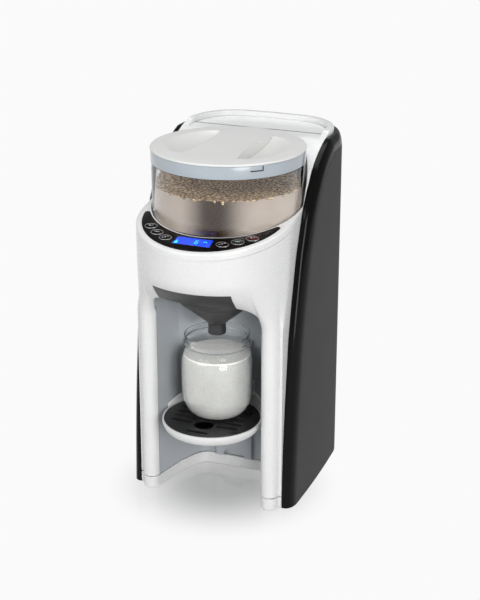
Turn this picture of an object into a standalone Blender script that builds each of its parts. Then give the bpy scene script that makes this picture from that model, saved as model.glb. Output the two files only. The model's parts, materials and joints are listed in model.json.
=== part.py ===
"""Baby formula maker: a powder container and a water tank over a bottle bay, as separate pieces.

Metres, +Z up. The origin is at the middle of the footprint, on the table. The front faces -Y.
"""
from math import cos, pi, radians, sin, sqrt, tan

import bmesh
import bpy
from mathutils import Matrix, Vector

# Clearances and shared values
GAP = 0.0003
RUN_GAP = 0.0006
OVERRUN = 0.004
WALL = 0.0025
FLOOR_LIFT = 0.0008
ROUND_STEPS = 40
MEDIUM_STEPS = 20
SMALL_STEPS = 10
SCREW_STEPS = 8

# Main axes, levels and half width, and the container's radii that follow from it
SPOUT_Y = -0.046
CONTAINER_Y = -0.0154
BODY_TOP = 0.355
SEAM_Z = 0.0132
BODY_HALF = 0.0773
WELL_RADIUS = BODY_HALF - 0.0014
CONTAINER_RADIUS = WELL_RADIUS - 0.0008
COLLAR_RADIUS = CONTAINER_RADIUS + 0.0006
LID_RADIUS = COLLAR_RADIUS + 0.0006
POCKET_RADIUS = LID_RADIUS + 0.0008

# Dark wrap shell: its outline seen from above, and the edge that sweeps back beside the head
SIDE_MARGIN = 0.0117
SIDE_HALF = BODY_HALF + SIDE_MARGIN
SIDE_WIDEST_Y = -0.027
SIDE_TAPER = 0.003
CORNER_RADIUS = 0.055
CORNER_X = SIDE_HALF - SIDE_TAPER - CORNER_RADIUS
CORNER_Y = CONTAINER_Y + LID_RADIUS + 0.0071
REAR_CROWN = 0.001
CORNER_STEPS = 5
WRAP_WALL = 0.003
NOSE_LENGTH = 0.016
NOSE_SHARES = (0.0, 0.07, 0.2, 0.42, 0.7, 1.0)
REAR_BEVEL = 0.0015
FLANK_FRONT_Y = -0.066
FLANK_SWEEP = 0.1147
FLANK_SHARES = (
    (0.0, 0.0), (0.16, 0.024), (0.30, 0.0575), (0.40, 0.0924), (0.504, 0.131), (0.606, 0.198),
    (0.718, 0.286), (0.775, 0.353), (0.831, 0.422), (0.882, 0.517), (0.906, 0.579),
    (0.930, 0.639), (0.952, 0.714), (0.969, 0.789), (0.983, 0.867), (0.9945, 0.95), (1.0, 1.0),
)

# Front shell: head, arch and posts
HEAD_Y = -0.0475
HEAD_DEPTH = BODY_HALF - 0.0008
HEAD_LOW_DEPTH = HEAD_DEPTH - 0.0015
POST_Y = -0.0666
POST_RADIUS = 0.009
POST_X = BODY_HALF - POST_RADIUS - 0.0033
POST_SOLID_Y = -0.0592
SWEEP_LOW_Z = 0.193
SWEEP_HEIGHT = 0.057
SWEEP_POWER_SHARE = 1.3
HEAD_SHARES = (0.0, 0.2, 0.38, 0.52, 0.64)
POST_ANGLES = (180, 210, 240, 270, 300, 330, 360)
SIDE_SHARE = 0.988
FLANK_TUCK = 0.008
FRONT_LEVEL_SHARES = (0.0, 0.15, 0.32, 0.48, 0.64, 0.80, 1.0)
FRONT_TOP_Z = 0.300

# Sloping deck
DECK_SLOPE = 0.2
DECK_Y = -0.1
DECK_Z = 0.2842
DECK_PLATE = 0.0026
DECK_SKIRT = 0.007
LIP_ROUND = 0.0016
DECK_REAR_Y = 0.062

# Bottle bay
BAY_HALF = POST_X - POST_RADIUS + 0.0001
BAY_FRONT_Y = -0.0662
BAY_MID_HALF = BAY_HALF - 0.0071
BAY_MID_Y = -0.030
BAY_REAR_HALF = BAY_MID_HALF - 0.019
BAY_REAR_Y = 0.0013
BAY_CORNER_SHARES = ((0.89, 0.15), (0.66, 0.53), (0.37, 0.84), (0.0, 1.0))
BAY_CEILING_Z = 0.220
BAY_ARCH_RADIUS = 0.020
LINER_WALL = 0.002
RAIL_HALF = 0.020
RAIL_DEPTH = 0.0042
RAIL_GROOVE = 0.002
RAIL_BACK = 0.0012
RAIL_TOP_Z = 0.150

# Funnel drawer
SPOUT_RADIUS = 0.009
SPOUT_TIP_Z = 0.1722
CONE_LOW_Z = 0.1835
CONE_TOP_Z = 0.2078
FUNNEL_RADIUS = 0.038
FUNNEL_WALL = 0.0018
FLANGE_HALF = 0.040
FLANGE_THICKNESS = 0.002
FLANGE_SHARES = (0.0, 0.3, 0.6, 1.0)
COVER_HALF = 0.0402
COVER_TOP_Z = 0.2371
COVER_THICKNESS = 0.0025
COVER_LEVEL_SHARES = (0.0, 0.33, 0.66, 1.0)
COVER_ACROSS_SHARES = (-1.0, -0.6, -0.3, 0.0, 0.3, 0.6, 1.0)
TUNNEL_HALF = 0.041
TUNNEL_ROOF_Z = 0.2385
CHUTE_RADIUS = 0.0086
CHUTE_BORE = 0.0072
CHUTE_DROP = 0.004
NOZZLE_RADIUS = 0.003
NOZZLE_X = 0.022
NOZZLE_TIP_Z = 0.232
NOZZLE_TOP_Z = 0.2535
NOZZLE_BARB_Z = 0.250
NOZZLE_BARB_RADIUS = 0.0024
NOZZLE_BARB = 0.010

# Powder container
SEAT_Z = 0.2800
SEAT_THICKNESS = 0.003
SEAT_RADIUS = WELL_RADIUS - 0.0004
CONTAINER_WALL = 0.0021
CONTAINER_FLOOR = 0.0025
CONTAINER_ROUND = 0.002
COLLAR_TOP_Z = BODY_TOP - 0.0004
COLLAR_HEIGHT = 0.0124
COLLAR_Z = COLLAR_TOP_Z - COLLAR_HEIGHT
COLLAR_WALL = 0.0022
COLLAR_SKIRT = 0.006
MARK_ANGLE = -42.8
MARK_TURN = 9
MARK_WIDTH = 0.0012
MARK_DROP = 0.0055
MARK_DEPTH = 0.0007
LID_EDGE = 0.0018
LID_DOME = 0.0012
LID_DOME_SHARE = 0.8
LID_PLUG_RADIUS = CONTAINER_RADIUS - 0.0061
LID_PLUG_DEPTH = 0.0085
SCOOP_INNER_X = 0.028
SCOOP_OUTER_X = 0.062
SCOOP_HALF_Y = 0.048
SCOOP_DEPTH = 0.0080
SCOOP_STEPS = 10
GASKET_WALL = 0.0038
GASKET_HEIGHT = 0.004
POWDER_TOP_Z = COLLAR_Z - 0.0207
POWDER_DISH = 0.004
POWDER_CAVITY_RADIUS = CONTAINER_RADIUS - 0.0061
WHEEL_RADIUS = POWDER_CAVITY_RADIUS - 0.001
WHEEL_HEIGHT = 0.0048
WHEEL_HUB_RADIUS = 0.0095
WHEEL_HUB_HEIGHT = 0.0115
WHEEL_POCKETS = 6
POCKET_HOLE_RADIUS = 0.0085
ARM_WIDTH = 0.007
ARM_HEIGHT = 0.004
ARM_COUNT = 3
CAVITY_HEIGHT = 0.0135

# Drive under the container
MODULE = 0.001
GEAR_TEETH = 36
PINION_TEETH = 12
PRESSURE_ANGLE = 25
ADDENDUM_SHARE = 0.8
DEDENDUM_SHARE = 1.1
TOOTH_SHARE = 0.42
GEAR_THICKNESS = 0.006
GEAR_Z = 0.2700
CASE_Z = 0.2640
CASE_WALL = 0.0015
CASE_FLOOR = 0.002
CASE_MARGIN = 0.0006
SPINDLE_RADIUS = 0.0050
SPINDLE_HEX_RADIUS = 0.0048
SPINDLE_TOP_Z = 0.2935
MOTOR_RADIUS = 0.0160
MOTOR_HEIGHT = 0.0205
MOTOR_SHAFT_RADIUS = 0.0016
MOTOR_SHAFT_DEPTH = 0.006

# Top cover, water tank and its lid
RIM_TOP_Z = BODY_TOP + 0.005
RIM_WIDTH = 0.0066
RIM_ROUND = 0.0016
RIM_SHARES = (0.1, 0.15)
RECESS_Z = BODY_TOP - 0.0005
TOP_COVER_Z = 0.296
TANK_OPENING_GAP = 0.0006
TANK_LID_FRONT_Y = CONTAINER_Y + LID_RADIUS + 0.0056
TANK_LID_THICKNESS = 0.004
TANK_LID_PLUG = 0.002
TANK_INSET = 0.0022
TANK_WALL = 0.002
TANK_Z = 0.100
OUTLET_Y = 0.090
OUTLET_BORE = 0.004
OUTLET_RADIUS = 0.007
OUTLET_DROP = 0.0075
VALVE_DISC_RADIUS = 0.008
VALVE_DISC_HEIGHT = 0.002
VALVE_STEM_RADIUS = 0.0036
VALVE_STEM = 0.007
PLATFORM_THICKNESS = 0.003
LEG_X = 0.046
LEG_YS = (0.076, 0.097)
LEG_RADIUS = 0.005
SOCKET_RADIUS = 0.011
SOCKET_BORE = 0.0085
SOCKET_HEIGHT = 0.0117
SOCKET_FLOOR = 0.003
PIN_RADIUS = 0.0024

# Water works
PUMP_X = -0.020
PUMP_Y = 0.040
PUMP_RADIUS = 0.014
PUMP_HEIGHT = 0.048
PUMP_HEAD_HALF = 0.017
PUMP_HEAD_HEIGHT = 0.014
HEATER_X = 0.026
HEATER_Y = 0.040
HEATER_RADIUS = 0.021
HEATER_HEIGHT = 0.085
PORT_SPREAD = 0.008
PORT_LENGTH = 0.006
PORT_RADIUS = 0.0034
HOSE_RADIUS = 0.0032
HOSE_RISE = 0.015
HOSE_BACK_X = 0.036
HOSE_SPAN_POINTS = 4

# Electronics
BOARD_THICKNESS = 0.0016
POWER_BOARD_HALF = 0.036
POWER_BOARD_LOW_Z = 0.105
POWER_BOARD_HEIGHT = 0.080
STANDOFF = 0.003
STANDOFF_RADIUS = 0.0022
STANDOFF_SHARE = 0.75
TRANSFORMER_SIZE = (0.026, 0.018, 0.024)
INLET_X = -0.016
SWITCH_X = 0.018
REAR_FITTING_Z = 0.040
INLET_SIZE = (0.026, 0.018)
SWITCH_SIZE = (0.015, 0.021)
FITTING_FLANGE = 0.003
FITTING_DEPTH = 0.016
FITTING_PROUD = 0.0016
FITTING_WALL = 0.0018
INLET_CAVITY = 0.012
CONTACT_SIZE = (0.0015, 0.008, 0.004)
CONTACT_SPREAD = 0.006
ROCKER_TILT = 8
ROCKER_THICKNESS = 0.004
ROCKER_SINK = 0.0035

# Control panel
PANEL_OUTER_RADIUS = HEAD_DEPTH - 0.005
PANEL_INNER_RADIUS = WELL_RADIUS + 0.0013
PANEL_END_ROUND = 0.003
PANEL_STEPS = 10
PANEL_END_STEPS = 5
BEZEL_THICKNESS = 0.003
BEZEL_PROUD = 0.0004
BUTTON_PLACES = ((0.0291, -0.1007), (0.0413, -0.0931), (0.0522, -0.0832))
BUTTON_LONG = 0.0057
BUTTON_SHORT = 0.0039
RING_WIDTH = 0.0009
RING_PROUD = 0.0008
TRIM_THICKNESS = 0.0011
BUTTON_PROUD = 0.0012
BUTTON_DEPTH = 0.0040
STEM_RADIUS = 0.0018
BUTTON_TRAVEL = 0.0008
LCD_TOP_HALF = 0.0179
LCD_BOTTOM_HALF = 0.0191
LCD_TOP_Y = -0.0954
LCD_BOTTOM_Y = -0.1089
LCD_THICKNESS = 0.0022
DISPLAY_DEPTH = 0.0045
BOARD_MARGIN = 0.002

# Drip tray
TRAY_Y = -0.0598
TRAY_OUTSIDE = ((0.036, 0.0742), (0.045, 0.0775), (0.0493, 0.0815), (0.0505, 0.0850), (0.0502, 0.0859))
TRAY_INSIDE = ((0.0488, 0.0859), (0.0488, 0.0836), (0.0468, 0.0836), (0.0455, 0.081), (0.037, 0.0762))
GRID_RADIUS = 0.0485
GRID_TOP_Z = 0.0859
GRID_THICKNESS = 0.002
SLOT_LENGTH = 0.020
SLOT_WIDTH = 0.003
SLOT_PITCH = 0.0103
SLOT_COUNT = 5
SLOT_FIRST = -0.0195
SLOT_X = 0.0257
FRONT_SLOT = -0.039
FINGER_HOLE = -0.0208
FINGER_HOLE_RADIUS = 0.009
CARRIER_PROFILE = ((0.0512, 0.0848), (0.0500, 0.0811), (0.0457, 0.0771), (0.0464, 0.0752),
                   (0.0513, 0.0795), (0.0534, 0.0845))
CARRIER_TOP_Z = 0.0866
CARRIER_RISE = 0.0145
CARRIER_START = -8
CARRIER_STEPS = 18
CARRIER_PLATE_TOP = 0.106
CARRIER_PLATE_LOW = 0.0795
CARRIER_CLIP = 0.0024
CARRIER_TOE = 0.0016

# Bottle
BOTTLE_WALL = 0.0016
BOTTLE_STEPS = 20
BOTTLE_PROFILE = (
    (0.0195, 0.0862), (0.0280, 0.0893), (0.0340, 0.0990), (0.0361, 0.1140), (0.0364, 0.1400),
    (0.0350, 0.1490), (0.0320, 0.1545), (0.0312, 0.1600), (0.0336, 0.1618), (0.0336, 0.1642),
    (0.0322, 0.1656), (0.0327, 0.1716),
)
BOTTLE_NECK_POINTS = 8
MILK_TOP_Z = 0.1535

# Feet and screws
FOOT_RADIUS = 0.0065
FOOT_HEIGHT = 0.002
FOOT_PLACES = {"front": (POST_X + 0.001, -0.046), "rear": (POST_X - 0.003, CORNER_Y + 0.018)}
BOSS_RADIUS = 0.0052
SCREW_HEAD_RADIUS = 0.003
SCREW_HEAD_HEIGHT = 0.0016
SCREW_HEAD_Z = 0.0044
SCREW_RADIUS = 0.0014
SCREW_TOP_Z = 0.020
POST_SCREW = (POST_X + 0.0005, -0.0665)

FINISHES = {
    "white_gloss": ((0.86, 0.86, 0.85), 0.22, 0.0),
    "white_inner": ((0.62, 0.66, 0.71), 0.35, 0.0),
    "dark_matte": ((0.075, 0.074, 0.073), 0.55, 0.0),
    "funnel_grey": ((0.09, 0.09, 0.09), 0.45, 0.0),
    "panel_black": ((0.012, 0.008, 0.008), 0.12, 0.0),
    "tray_black": ((0.018, 0.018, 0.02), 0.4, 0.0),
    "lcd_blue": ((0.02, 0.12, 0.95), 0.2, 0.0),
    "clear_plastic": ((0.85, 0.88, 0.9), 0.08, 0.0),
    "collar_grey": ((0.55, 0.62, 0.68), 0.2, 0.0),
    "powder_cream": ((0.72, 0.62, 0.50), 0.9, 0.0),
    "milk_white": ((0.88, 0.87, 0.82), 0.3, 0.0),
    "bright_metal": ((0.78, 0.78, 0.8), 0.25, 1.0),
    "steel": ((0.55, 0.55, 0.57), 0.4, 1.0),
    "gear_plastic": ((0.8, 0.78, 0.7), 0.5, 0.0),
    "black_rubber": ((0.03, 0.03, 0.03), 0.8, 0.0),
    "board_green": ((0.02, 0.16, 0.06), 0.5, 0.0),
    "hose_grey": ((0.7, 0.7, 0.7), 0.4, 0.0),
}


def clear_scene():
    """Remove the objects that Blender starts with."""
    for item in list(bpy.data.objects):
        bpy.data.objects.remove(item, do_unlink=True)


def finish(name):
    """The named finish as a Principled material, made once."""
    found = bpy.data.materials.get(name)
    if found:
        return found
    color, roughness, metallic = FINISHES[name]
    result = bpy.data.materials.new(name)
    result.use_nodes = True
    shader = result.node_tree.nodes["Principled BSDF"]
    shader.inputs["Base Color"].default_value = (*color, 1.0)
    shader.inputs["Roughness"].default_value = roughness
    shader.inputs["Metallic"].default_value = metallic
    return result


def from_bmesh(name, work, slot=None):
    """Turn a bmesh into an object whose faces point out, with smooth shading."""
    bmesh.ops.recalc_face_normals(work, faces=work.faces)
    mesh = bpy.data.meshes.new(name)
    work.to_mesh(mesh)
    work.free()
    item = bpy.data.objects.new(name, mesh)
    bpy.context.scene.collection.objects.link(item)
    if slot:
        mesh.materials.append(finish(slot))
    mesh.shade_smooth()
    mesh.set_sharp_from_angle(angle=radians(35))
    return item


def loft(name, rings, slot=None):
    """A closed solid through rings of equally many points, capped at both ends."""
    work = bmesh.new()
    rows = [[work.verts.new(point) for point in ring] for ring in rings]
    count = len(rows[0])
    for low, high in zip(rows, rows[1:]):
        for k in range(count):
            n = (k + 1) % count
            work.faces.new((low[k], low[n], high[n], high[k]))
    work.faces.new(list(reversed(rows[0])))
    work.faces.new(rows[-1])
    return from_bmesh(name, work, slot)


def at_height(outline, z):
    """A flat outline's points at a height."""
    return [(x, y, z) for x, y in outline]


def prism(name, outline, low, high, slot=None):
    """A flat outline pulled up from one height to another."""
    return loft(name, [at_height(outline, low), at_height(outline, high)], slot)


def turned_rows(name, rows, whole, slot):
    """Close a solid over profiles that stand around an axis."""
    work = bmesh.new()
    made = [[work.verts.new(point) for point in row] for row in rows]
    pairs = list(zip(made, made[1:]))
    if whole:
        pairs.append((made[-1], made[0]))
    for first, second in pairs:
        count = len(first)
        for k in range(count):
            n = (k + 1) % count
            work.faces.new((first[k], second[k], second[n], first[n]))
    if not whole:
        work.faces.new(made[0])
        work.faces.new(list(reversed(made[-1])))
    bmesh.ops.remove_doubles(work, verts=work.verts, dist=GAP / 1000)
    bmesh.ops.dissolve_degenerate(work, edges=work.edges, dist=GAP / 1000)
    return from_bmesh(name, work, slot)


def turned(name, profile, center, slot=None, steps=ROUND_STEPS):
    """A closed profile of (radius, height) turned round a vertical axis at center."""
    rows = []
    for k in range(steps):
        angle = 2 * pi * k / steps
        rows.append([(center[0] + r * cos(angle), center[1] + r * sin(angle), z) for r, z in profile])
    return turned_rows(name, rows, True, slot)


def ring_profile(inner, outer, low, high):
    """A plain ring's profile."""
    return [(inner, low), (outer, low), (outer, high), (inner, high)]


def circle(radius, center, steps=SMALL_STEPS):
    """Points round a circle."""
    turn = 2 * pi / steps
    return [(center[0] + radius * cos(turn * k), center[1] + radius * sin(turn * k))
            for k in range(steps)]


def cylinder(name, radius, low, high, center, slot=None, steps=SMALL_STEPS):
    """An upright cylinder."""
    return prism(name, circle(radius, center, steps), low, high, slot)


def rod(name, start, end, radius, slot=None, steps=SMALL_STEPS):
    """A cylinder between two points in any direction."""
    along = (Vector(end) - Vector(start)).normalized()
    across = along.orthogonal().normalized()
    other = along.cross(across)
    turn = 2 * pi / steps
    rings = []
    for center in (Vector(start), Vector(end)):
        rings.append([center + across * (radius * cos(turn * k)) + other * (radius * sin(turn * k))
                      for k in range(steps)])
    return loft(name, rings, slot)


def box(name, low, high, slot=None):
    """A box between two corners."""
    outline = [(low[0], low[1]), (high[0], low[1]), (high[0], high[1]), (low[0], high[1])]
    return prism(name, outline, low[2], high[2], slot)


def combine(target, others, operation):
    """Boolean the others into the target, and remove them."""
    for other in others:
        step = target.modifiers.new("combine", "BOOLEAN")
        step.operation = operation
        step.solver = "EXACT"
        step.object = other
        depsgraph = bpy.context.evaluated_depsgraph_get()
        mesh = bpy.data.meshes.new_from_object(target.evaluated_get(depsgraph))
        target.modifiers.clear()
        target.data = mesh
        bpy.data.objects.remove(other, do_unlink=True)
    target.data.set_sharp_from_angle(angle=radians(35))
    return target


def cut(target, *cutters):
    """Take the cutters out of the target."""
    return combine(target, cutters, "DIFFERENCE")


def fuse(target, *others):
    """Join the others to the target."""
    return combine(target, others, "UNION")


def set_pivot(item, pivot):
    """Move an object's origin to its joint's axis."""
    item.data.transform(Matrix.Translation(-Vector(pivot)))
    item.location = pivot
    return item


def mirrored(half):
    """A closed outline from its right half."""
    return list(half) + [(-x, y) for x, y in reversed(half) if abs(x) > GAP]


def arc(center, radius, first, last, steps):
    """Points on an arc, in degrees."""
    points = []
    for k in range(steps + 1):
        angle = radians(first + (last - first) * k / steps)
        points.append((center[0] + radius * cos(angle), center[1] + radius * sin(angle)))
    return points


def inset(outline, distance):
    """A counterclockwise outline moved in by a distance."""
    moved = []
    count = len(outline)
    for k in range(count):
        before = Vector(outline[k]) - Vector(outline[k - 1])
        after = Vector(outline[(k + 1) % count]) - Vector(outline[k])
        first = Vector((-before.y, before.x)).normalized()
        second = Vector((-after.y, after.x)).normalized()
        push = (first + second) * (distance / (1.0 + first.dot(second)))
        moved.append((outline[k][0] + push.x, outline[k][1] + push.y))
    return moved


def side_x(y):
    """Half width of the dark shell at a depth."""
    behind = max(y - SIDE_WIDEST_Y, 0.0)
    return SIDE_HALF - SIDE_TAPER * (behind / (CORNER_Y - SIDE_WIDEST_Y)) ** 2


def land_x():
    """Half width of the dark shell's front and top land, at its outer edge."""
    return BODY_HALF + GAP + WRAP_WALL


def flank_points():
    """The dark shell's front edge in side view, as (y, z)."""
    return [(FLANK_FRONT_Y + FLANK_SWEEP * across, BODY_TOP * up) for up, across in FLANK_SHARES]


def flank_y(z):
    """Depth of the dark shell's front edge at a height."""
    points = flank_points()
    for low, high in zip(points, points[1:]):
        if z <= high[1]:
            share = (z - low[1]) / (high[1] - low[1])
            return low[0] + (high[0] - low[0]) * max(share, 0.0)
    return points[-1][0]


def edge_distance(y, z):
    """Distance in side view from the dark shell's swept edge and from its top."""
    best = BODY_TOP - z
    points = flank_points()
    for low, high in zip(points, points[1:]):
        run = Vector((high[0] - low[0], high[1] - low[1]))
        reach = Vector((y - low[0], z - low[1]))
        share = min(max(reach.dot(run) / run.dot(run), 0.0), 1.0)
        best = min(best, (reach - run * share).length)
    return max(best, 0.0)


def full_bevel(normal_x, y):
    """The bevel's whole width at a place on the dark shell's outline."""
    if y < CORNER_Y:
        return side_x(y) - land_x()
    corner = side_x(CORNER_Y) - land_x()
    return REAR_BEVEL + (corner - REAR_BEVEL) * normal_x


def bevel_inset(normal_x, y, distance):
    """How far the bevel draws the dark shell in, at a distance from its edge."""
    share = max(1.0 - distance / NOSE_LENGTH, 0.0)
    return full_bevel(normal_x, y) * (1.0 - sqrt(1.0 - share * share))


def corner_normals():
    """Directions round the rear corner."""
    return [Vector((cos(pi / 2 * k / CORNER_STEPS), sin(pi / 2 * k / CORNER_STEPS)))
            for k in range(CORNER_STEPS + 1)]


def shell_half(front_y):
    """Right half of the dark shell's outline with its normals, from its front to the rear."""
    nose_end = front_y + NOSE_LENGTH
    depths = [front_y + NOSE_LENGTH * share for share in NOSE_SHARES]
    depths.append((nose_end + CORNER_Y) / 2)
    points = [(Vector((side_x(y), y)), Vector((1.0, 0.0))) for y in depths]
    for normal in corner_normals():
        points.append((Vector((CORNER_X, CORNER_Y)) + normal * CORNER_RADIUS, normal))
    rear = CORNER_Y + CORNER_RADIUS + REAR_CROWN
    points.append((Vector((0.0, rear)), Vector((0.0, 1.0))))
    return points


def inner_half(extra, front_y):
    """Right half of the outline inside the dark shell's top edge, drawn in by extra."""
    half = [(BODY_HALF - extra, front_y)]
    for normal in corner_normals():
        drawn = full_bevel(normal.x, CORNER_Y) + WRAP_WALL + GAP + extra
        place = Vector((CORNER_X, CORNER_Y)) + normal * (CORNER_RADIUS - drawn)
        if place.y > front_y + GAP:
            half.append((place.x, place.y))
    rear = CORNER_Y + CORNER_RADIUS + REAR_CROWN - REAR_BEVEL - WRAP_WALL - GAP - extra
    half.append((0.0, rear))
    return half


def wrap_ring(z, level_y, extra, shift):
    """One level of the dark shell, drawn in by extra and shifted back."""
    half = []
    for point, normal in shell_half(level_y + shift):
        distance = edge_distance(point.y - shift, z)
        place = point - normal * (bevel_inset(normal.x, point.y, distance) + extra)
        half.append((place.x, place.y))
    first = level_y - (OVERRUN if extra else 0.0)
    half.insert(0, (BODY_HALF + GAP, first))
    return at_height(mirrored(half), z)


def rear_fittings():
    """The rear fittings' places and opening sizes."""
    return ((INLET_X, INLET_SIZE), (SWITCH_X, SWITCH_SIZE))


def rear_box(name, x, size, grow, near, far, slot=None):
    """A box through the rear wall round a fitting's middle, from one depth to another."""
    low = (x - size[0] / 2 - grow, near, REAR_FITTING_Z - size[1] / 2 - grow)
    high = (x + size[0] / 2 + grow, far, REAR_FITTING_Z + size[1] / 2 + grow)
    return box(name, low, high, slot)


def build_wrap_shell():
    """Dark side and rear casing, open at the front, the top and the bottom."""
    levels = [(z, y) for y, z in flank_points()]
    levels[0] = (FLOOR_LIFT, FLANK_FRONT_Y)
    shell = loft("wrap_shell", [wrap_ring(z, y, 0.0, 0.0) for z, y in levels], "dark_matte")
    inner = [wrap_ring(z, y, WRAP_WALL, WALL) for z, y in levels]
    inner.insert(0, [(x, y, z - OVERRUN) for x, y, z in inner[0]])
    inner.append([(x, y, z + OVERRUN) for x, y, z in inner[-1]])
    cut(shell, loft("wrap_room", inner))
    rear = CORNER_Y + CORNER_RADIUS + REAR_CROWN
    for x, size in rear_fittings():
        near = rear - WRAP_WALL - OVERRUN
        cut(shell, rear_box("fitting_room", x, size, GAP, near, rear + OVERRUN))
    return shell


def deck_z(y, drop=0.0):
    """Height of the sloping deck at a depth, less a drop."""
    return DECK_Z + DECK_SLOPE * (y - DECK_Y) - drop


def deck_normal():
    """The deck's upward normal."""
    return Vector((0.0, -DECK_SLOPE, 1.0)).normalized()


def on_deck(outline, rise):
    """A flat outline laid on the deck and lifted along its normal."""
    normal = deck_normal()
    return [Vector((x, y, deck_z(y))) + normal * rise for x, y in outline]


def deck_prism(name, outline, low, high, slot=None):
    """A solid that stands square to the deck."""
    return loft(name, [on_deck(outline, low), on_deck(outline, high)], slot)


def sweep_share(z):
    """How far the front has swept out from the posts to the head at a height."""
    share = min(max((z - SWEEP_LOW_Z) / SWEEP_HEIGHT, 0.0), 1.0)
    return sin(share * pi / 2) ** SWEEP_POWER_SHARE


def head_y(x, z):
    """Depth of the head's round front."""
    top = SWEEP_LOW_Z + SWEEP_HEIGHT
    share = min(max((z - top) / (DECK_Z - top), 0.0), 1.0)
    depth = HEAD_LOW_DEPTH + (HEAD_DEPTH - HEAD_LOW_DEPTH) * share
    return HEAD_Y - depth * sqrt(max(1.0 - (x / BODY_HALF) ** 2, 0.0))


def post_y(x):
    """Depth of the posts' round fronts."""
    across = (abs(x) - POST_X) / POST_RADIUS
    return POST_Y - POST_RADIUS * sqrt(max(1.0 - across * across, 0.0))


def front_y(x, z):
    """Depth of the front shell's outer surface."""
    share = sweep_share(z)
    return post_y(x) * (1.0 - share) + head_y(x, z) * share


def hollow_y(x, z):
    """Depth of the hollow behind the front shell's wall."""
    share = sweep_share(z)
    return POST_SOLID_Y * (1.0 - share) + (head_y(x, z) + WALL) * share


def front_xs():
    """Right half of the places across the front, from the middle to the side."""
    places = [BODY_HALF * share for share in HEAD_SHARES]
    places += [POST_X + POST_RADIUS * cos(radians(angle)) for angle in POST_ANGLES]
    return places + [BODY_HALF * SIDE_SHARE, BODY_HALF]


def across_front(half):
    """The whole front line from its right half."""
    return [(-x, y) for x, y in reversed(half[1:])] + half


def front_ring(z, back_y):
    """The front shell's outer outline at a height."""
    half = [(x, front_y(x, z)) for x in front_xs()]
    outline = across_front(half) + [(BODY_HALF, back_y), (-BODY_HALF, back_y)]
    return at_height(outline, z)


def hollow_half(z, extra):
    """Right half of the hollow's front line at a height, set back by extra."""
    narrow = (BODY_HALF - WALL) / BODY_HALF
    return [(x * narrow, hollow_y(x, z) + extra) for x in front_xs()]


def hollow_ring(z, back_y):
    """The outline of the hollow behind the front shell's wall at a height."""
    outline = across_front(hollow_half(z, 0.0)) + [(BODY_HALF - WALL, back_y), (WALL - BODY_HALF, back_y)]
    return at_height(outline, z)


def bay_half(extra):
    """Right half of the bay's outline from its front to its rear wall, grown by extra."""
    mid_x = BAY_MID_HALF + extra
    rear_y = BAY_REAR_Y + extra
    points = [(BAY_HALF + extra, BAY_FRONT_Y), (mid_x, BAY_MID_Y)]
    for across, back in BAY_CORNER_SHARES:
        x = BAY_REAR_HALF + (mid_x - BAY_REAR_HALF) * across
        points.append((x, BAY_MID_Y + (rear_y - BAY_MID_Y) * back))
    return points


def bay_space(name, low, high, front):
    """The bay's space, with rounded top corners, as a cutter."""
    outline = mirrored([(BAY_HALF, front)] + bay_half(0.0))
    body = prism(name, outline, low, high)
    corner = (BAY_HALF - BAY_ARCH_RADIUS, high - BAY_ARCH_RADIUS)
    side = [(BAY_HALF + GAP, low - OVERRUN)] + arc(corner, BAY_ARCH_RADIUS + GAP, 0, 90, 6)
    ring = side + [(-x, z) for x, z in reversed(side)]
    depths = (BAY_REAR_Y + OVERRUN, front - OVERRUN)
    limit = loft(name + "_arch", [[(x, y, z) for x, z in ring] for y in depths])
    return combine(body, [limit], "INTERSECT")


def over_deck(name, drop):
    """A cutter that fills everything above the deck's plane, less a drop."""
    near = HEAD_Y - HEAD_DEPTH - OVERRUN
    far = CORNER_Y + CORNER_RADIUS
    outline = [(-SIDE_HALF, near), (SIDE_HALF, near), (SIDE_HALF, far), (-SIDE_HALF, far)]
    low = [(x, y, deck_z(y, drop)) for x, y in outline]
    return loft(name, [low, at_height(outline, RIM_TOP_Z + OVERRUN)])


def under_deck(name, rise):
    """A cutter that fills everything below the deck's plane, plus a rise."""
    near = HEAD_Y - HEAD_DEPTH - OVERRUN
    far = CORNER_Y + CORNER_RADIUS + OVERRUN
    outline = [(-SIDE_HALF, near), (SIDE_HALF, near), (SIDE_HALF, far), (-SIDE_HALF, far)]
    high = [(x, y, deck_z(y, -rise)) for x, y in outline]
    return loft(name, [at_height(outline, CASE_Z - OVERRUN), high])


def well_cutter(low):
    """The round well that the container stands in."""
    return cylinder("well", WELL_RADIUS, low, BODY_TOP, (0.0, CONTAINER_Y), steps=ROUND_STEPS)


def post_screw_hole(name, side):
    """The blind hole for a screw in a post's foot."""
    place = (side * POST_SCREW[0], POST_SCREW[1])
    return cylinder(name, SCREW_RADIUS + GAP, 0.0, SCREW_TOP_Z + GAP, place, steps=SCREW_STEPS)


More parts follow.
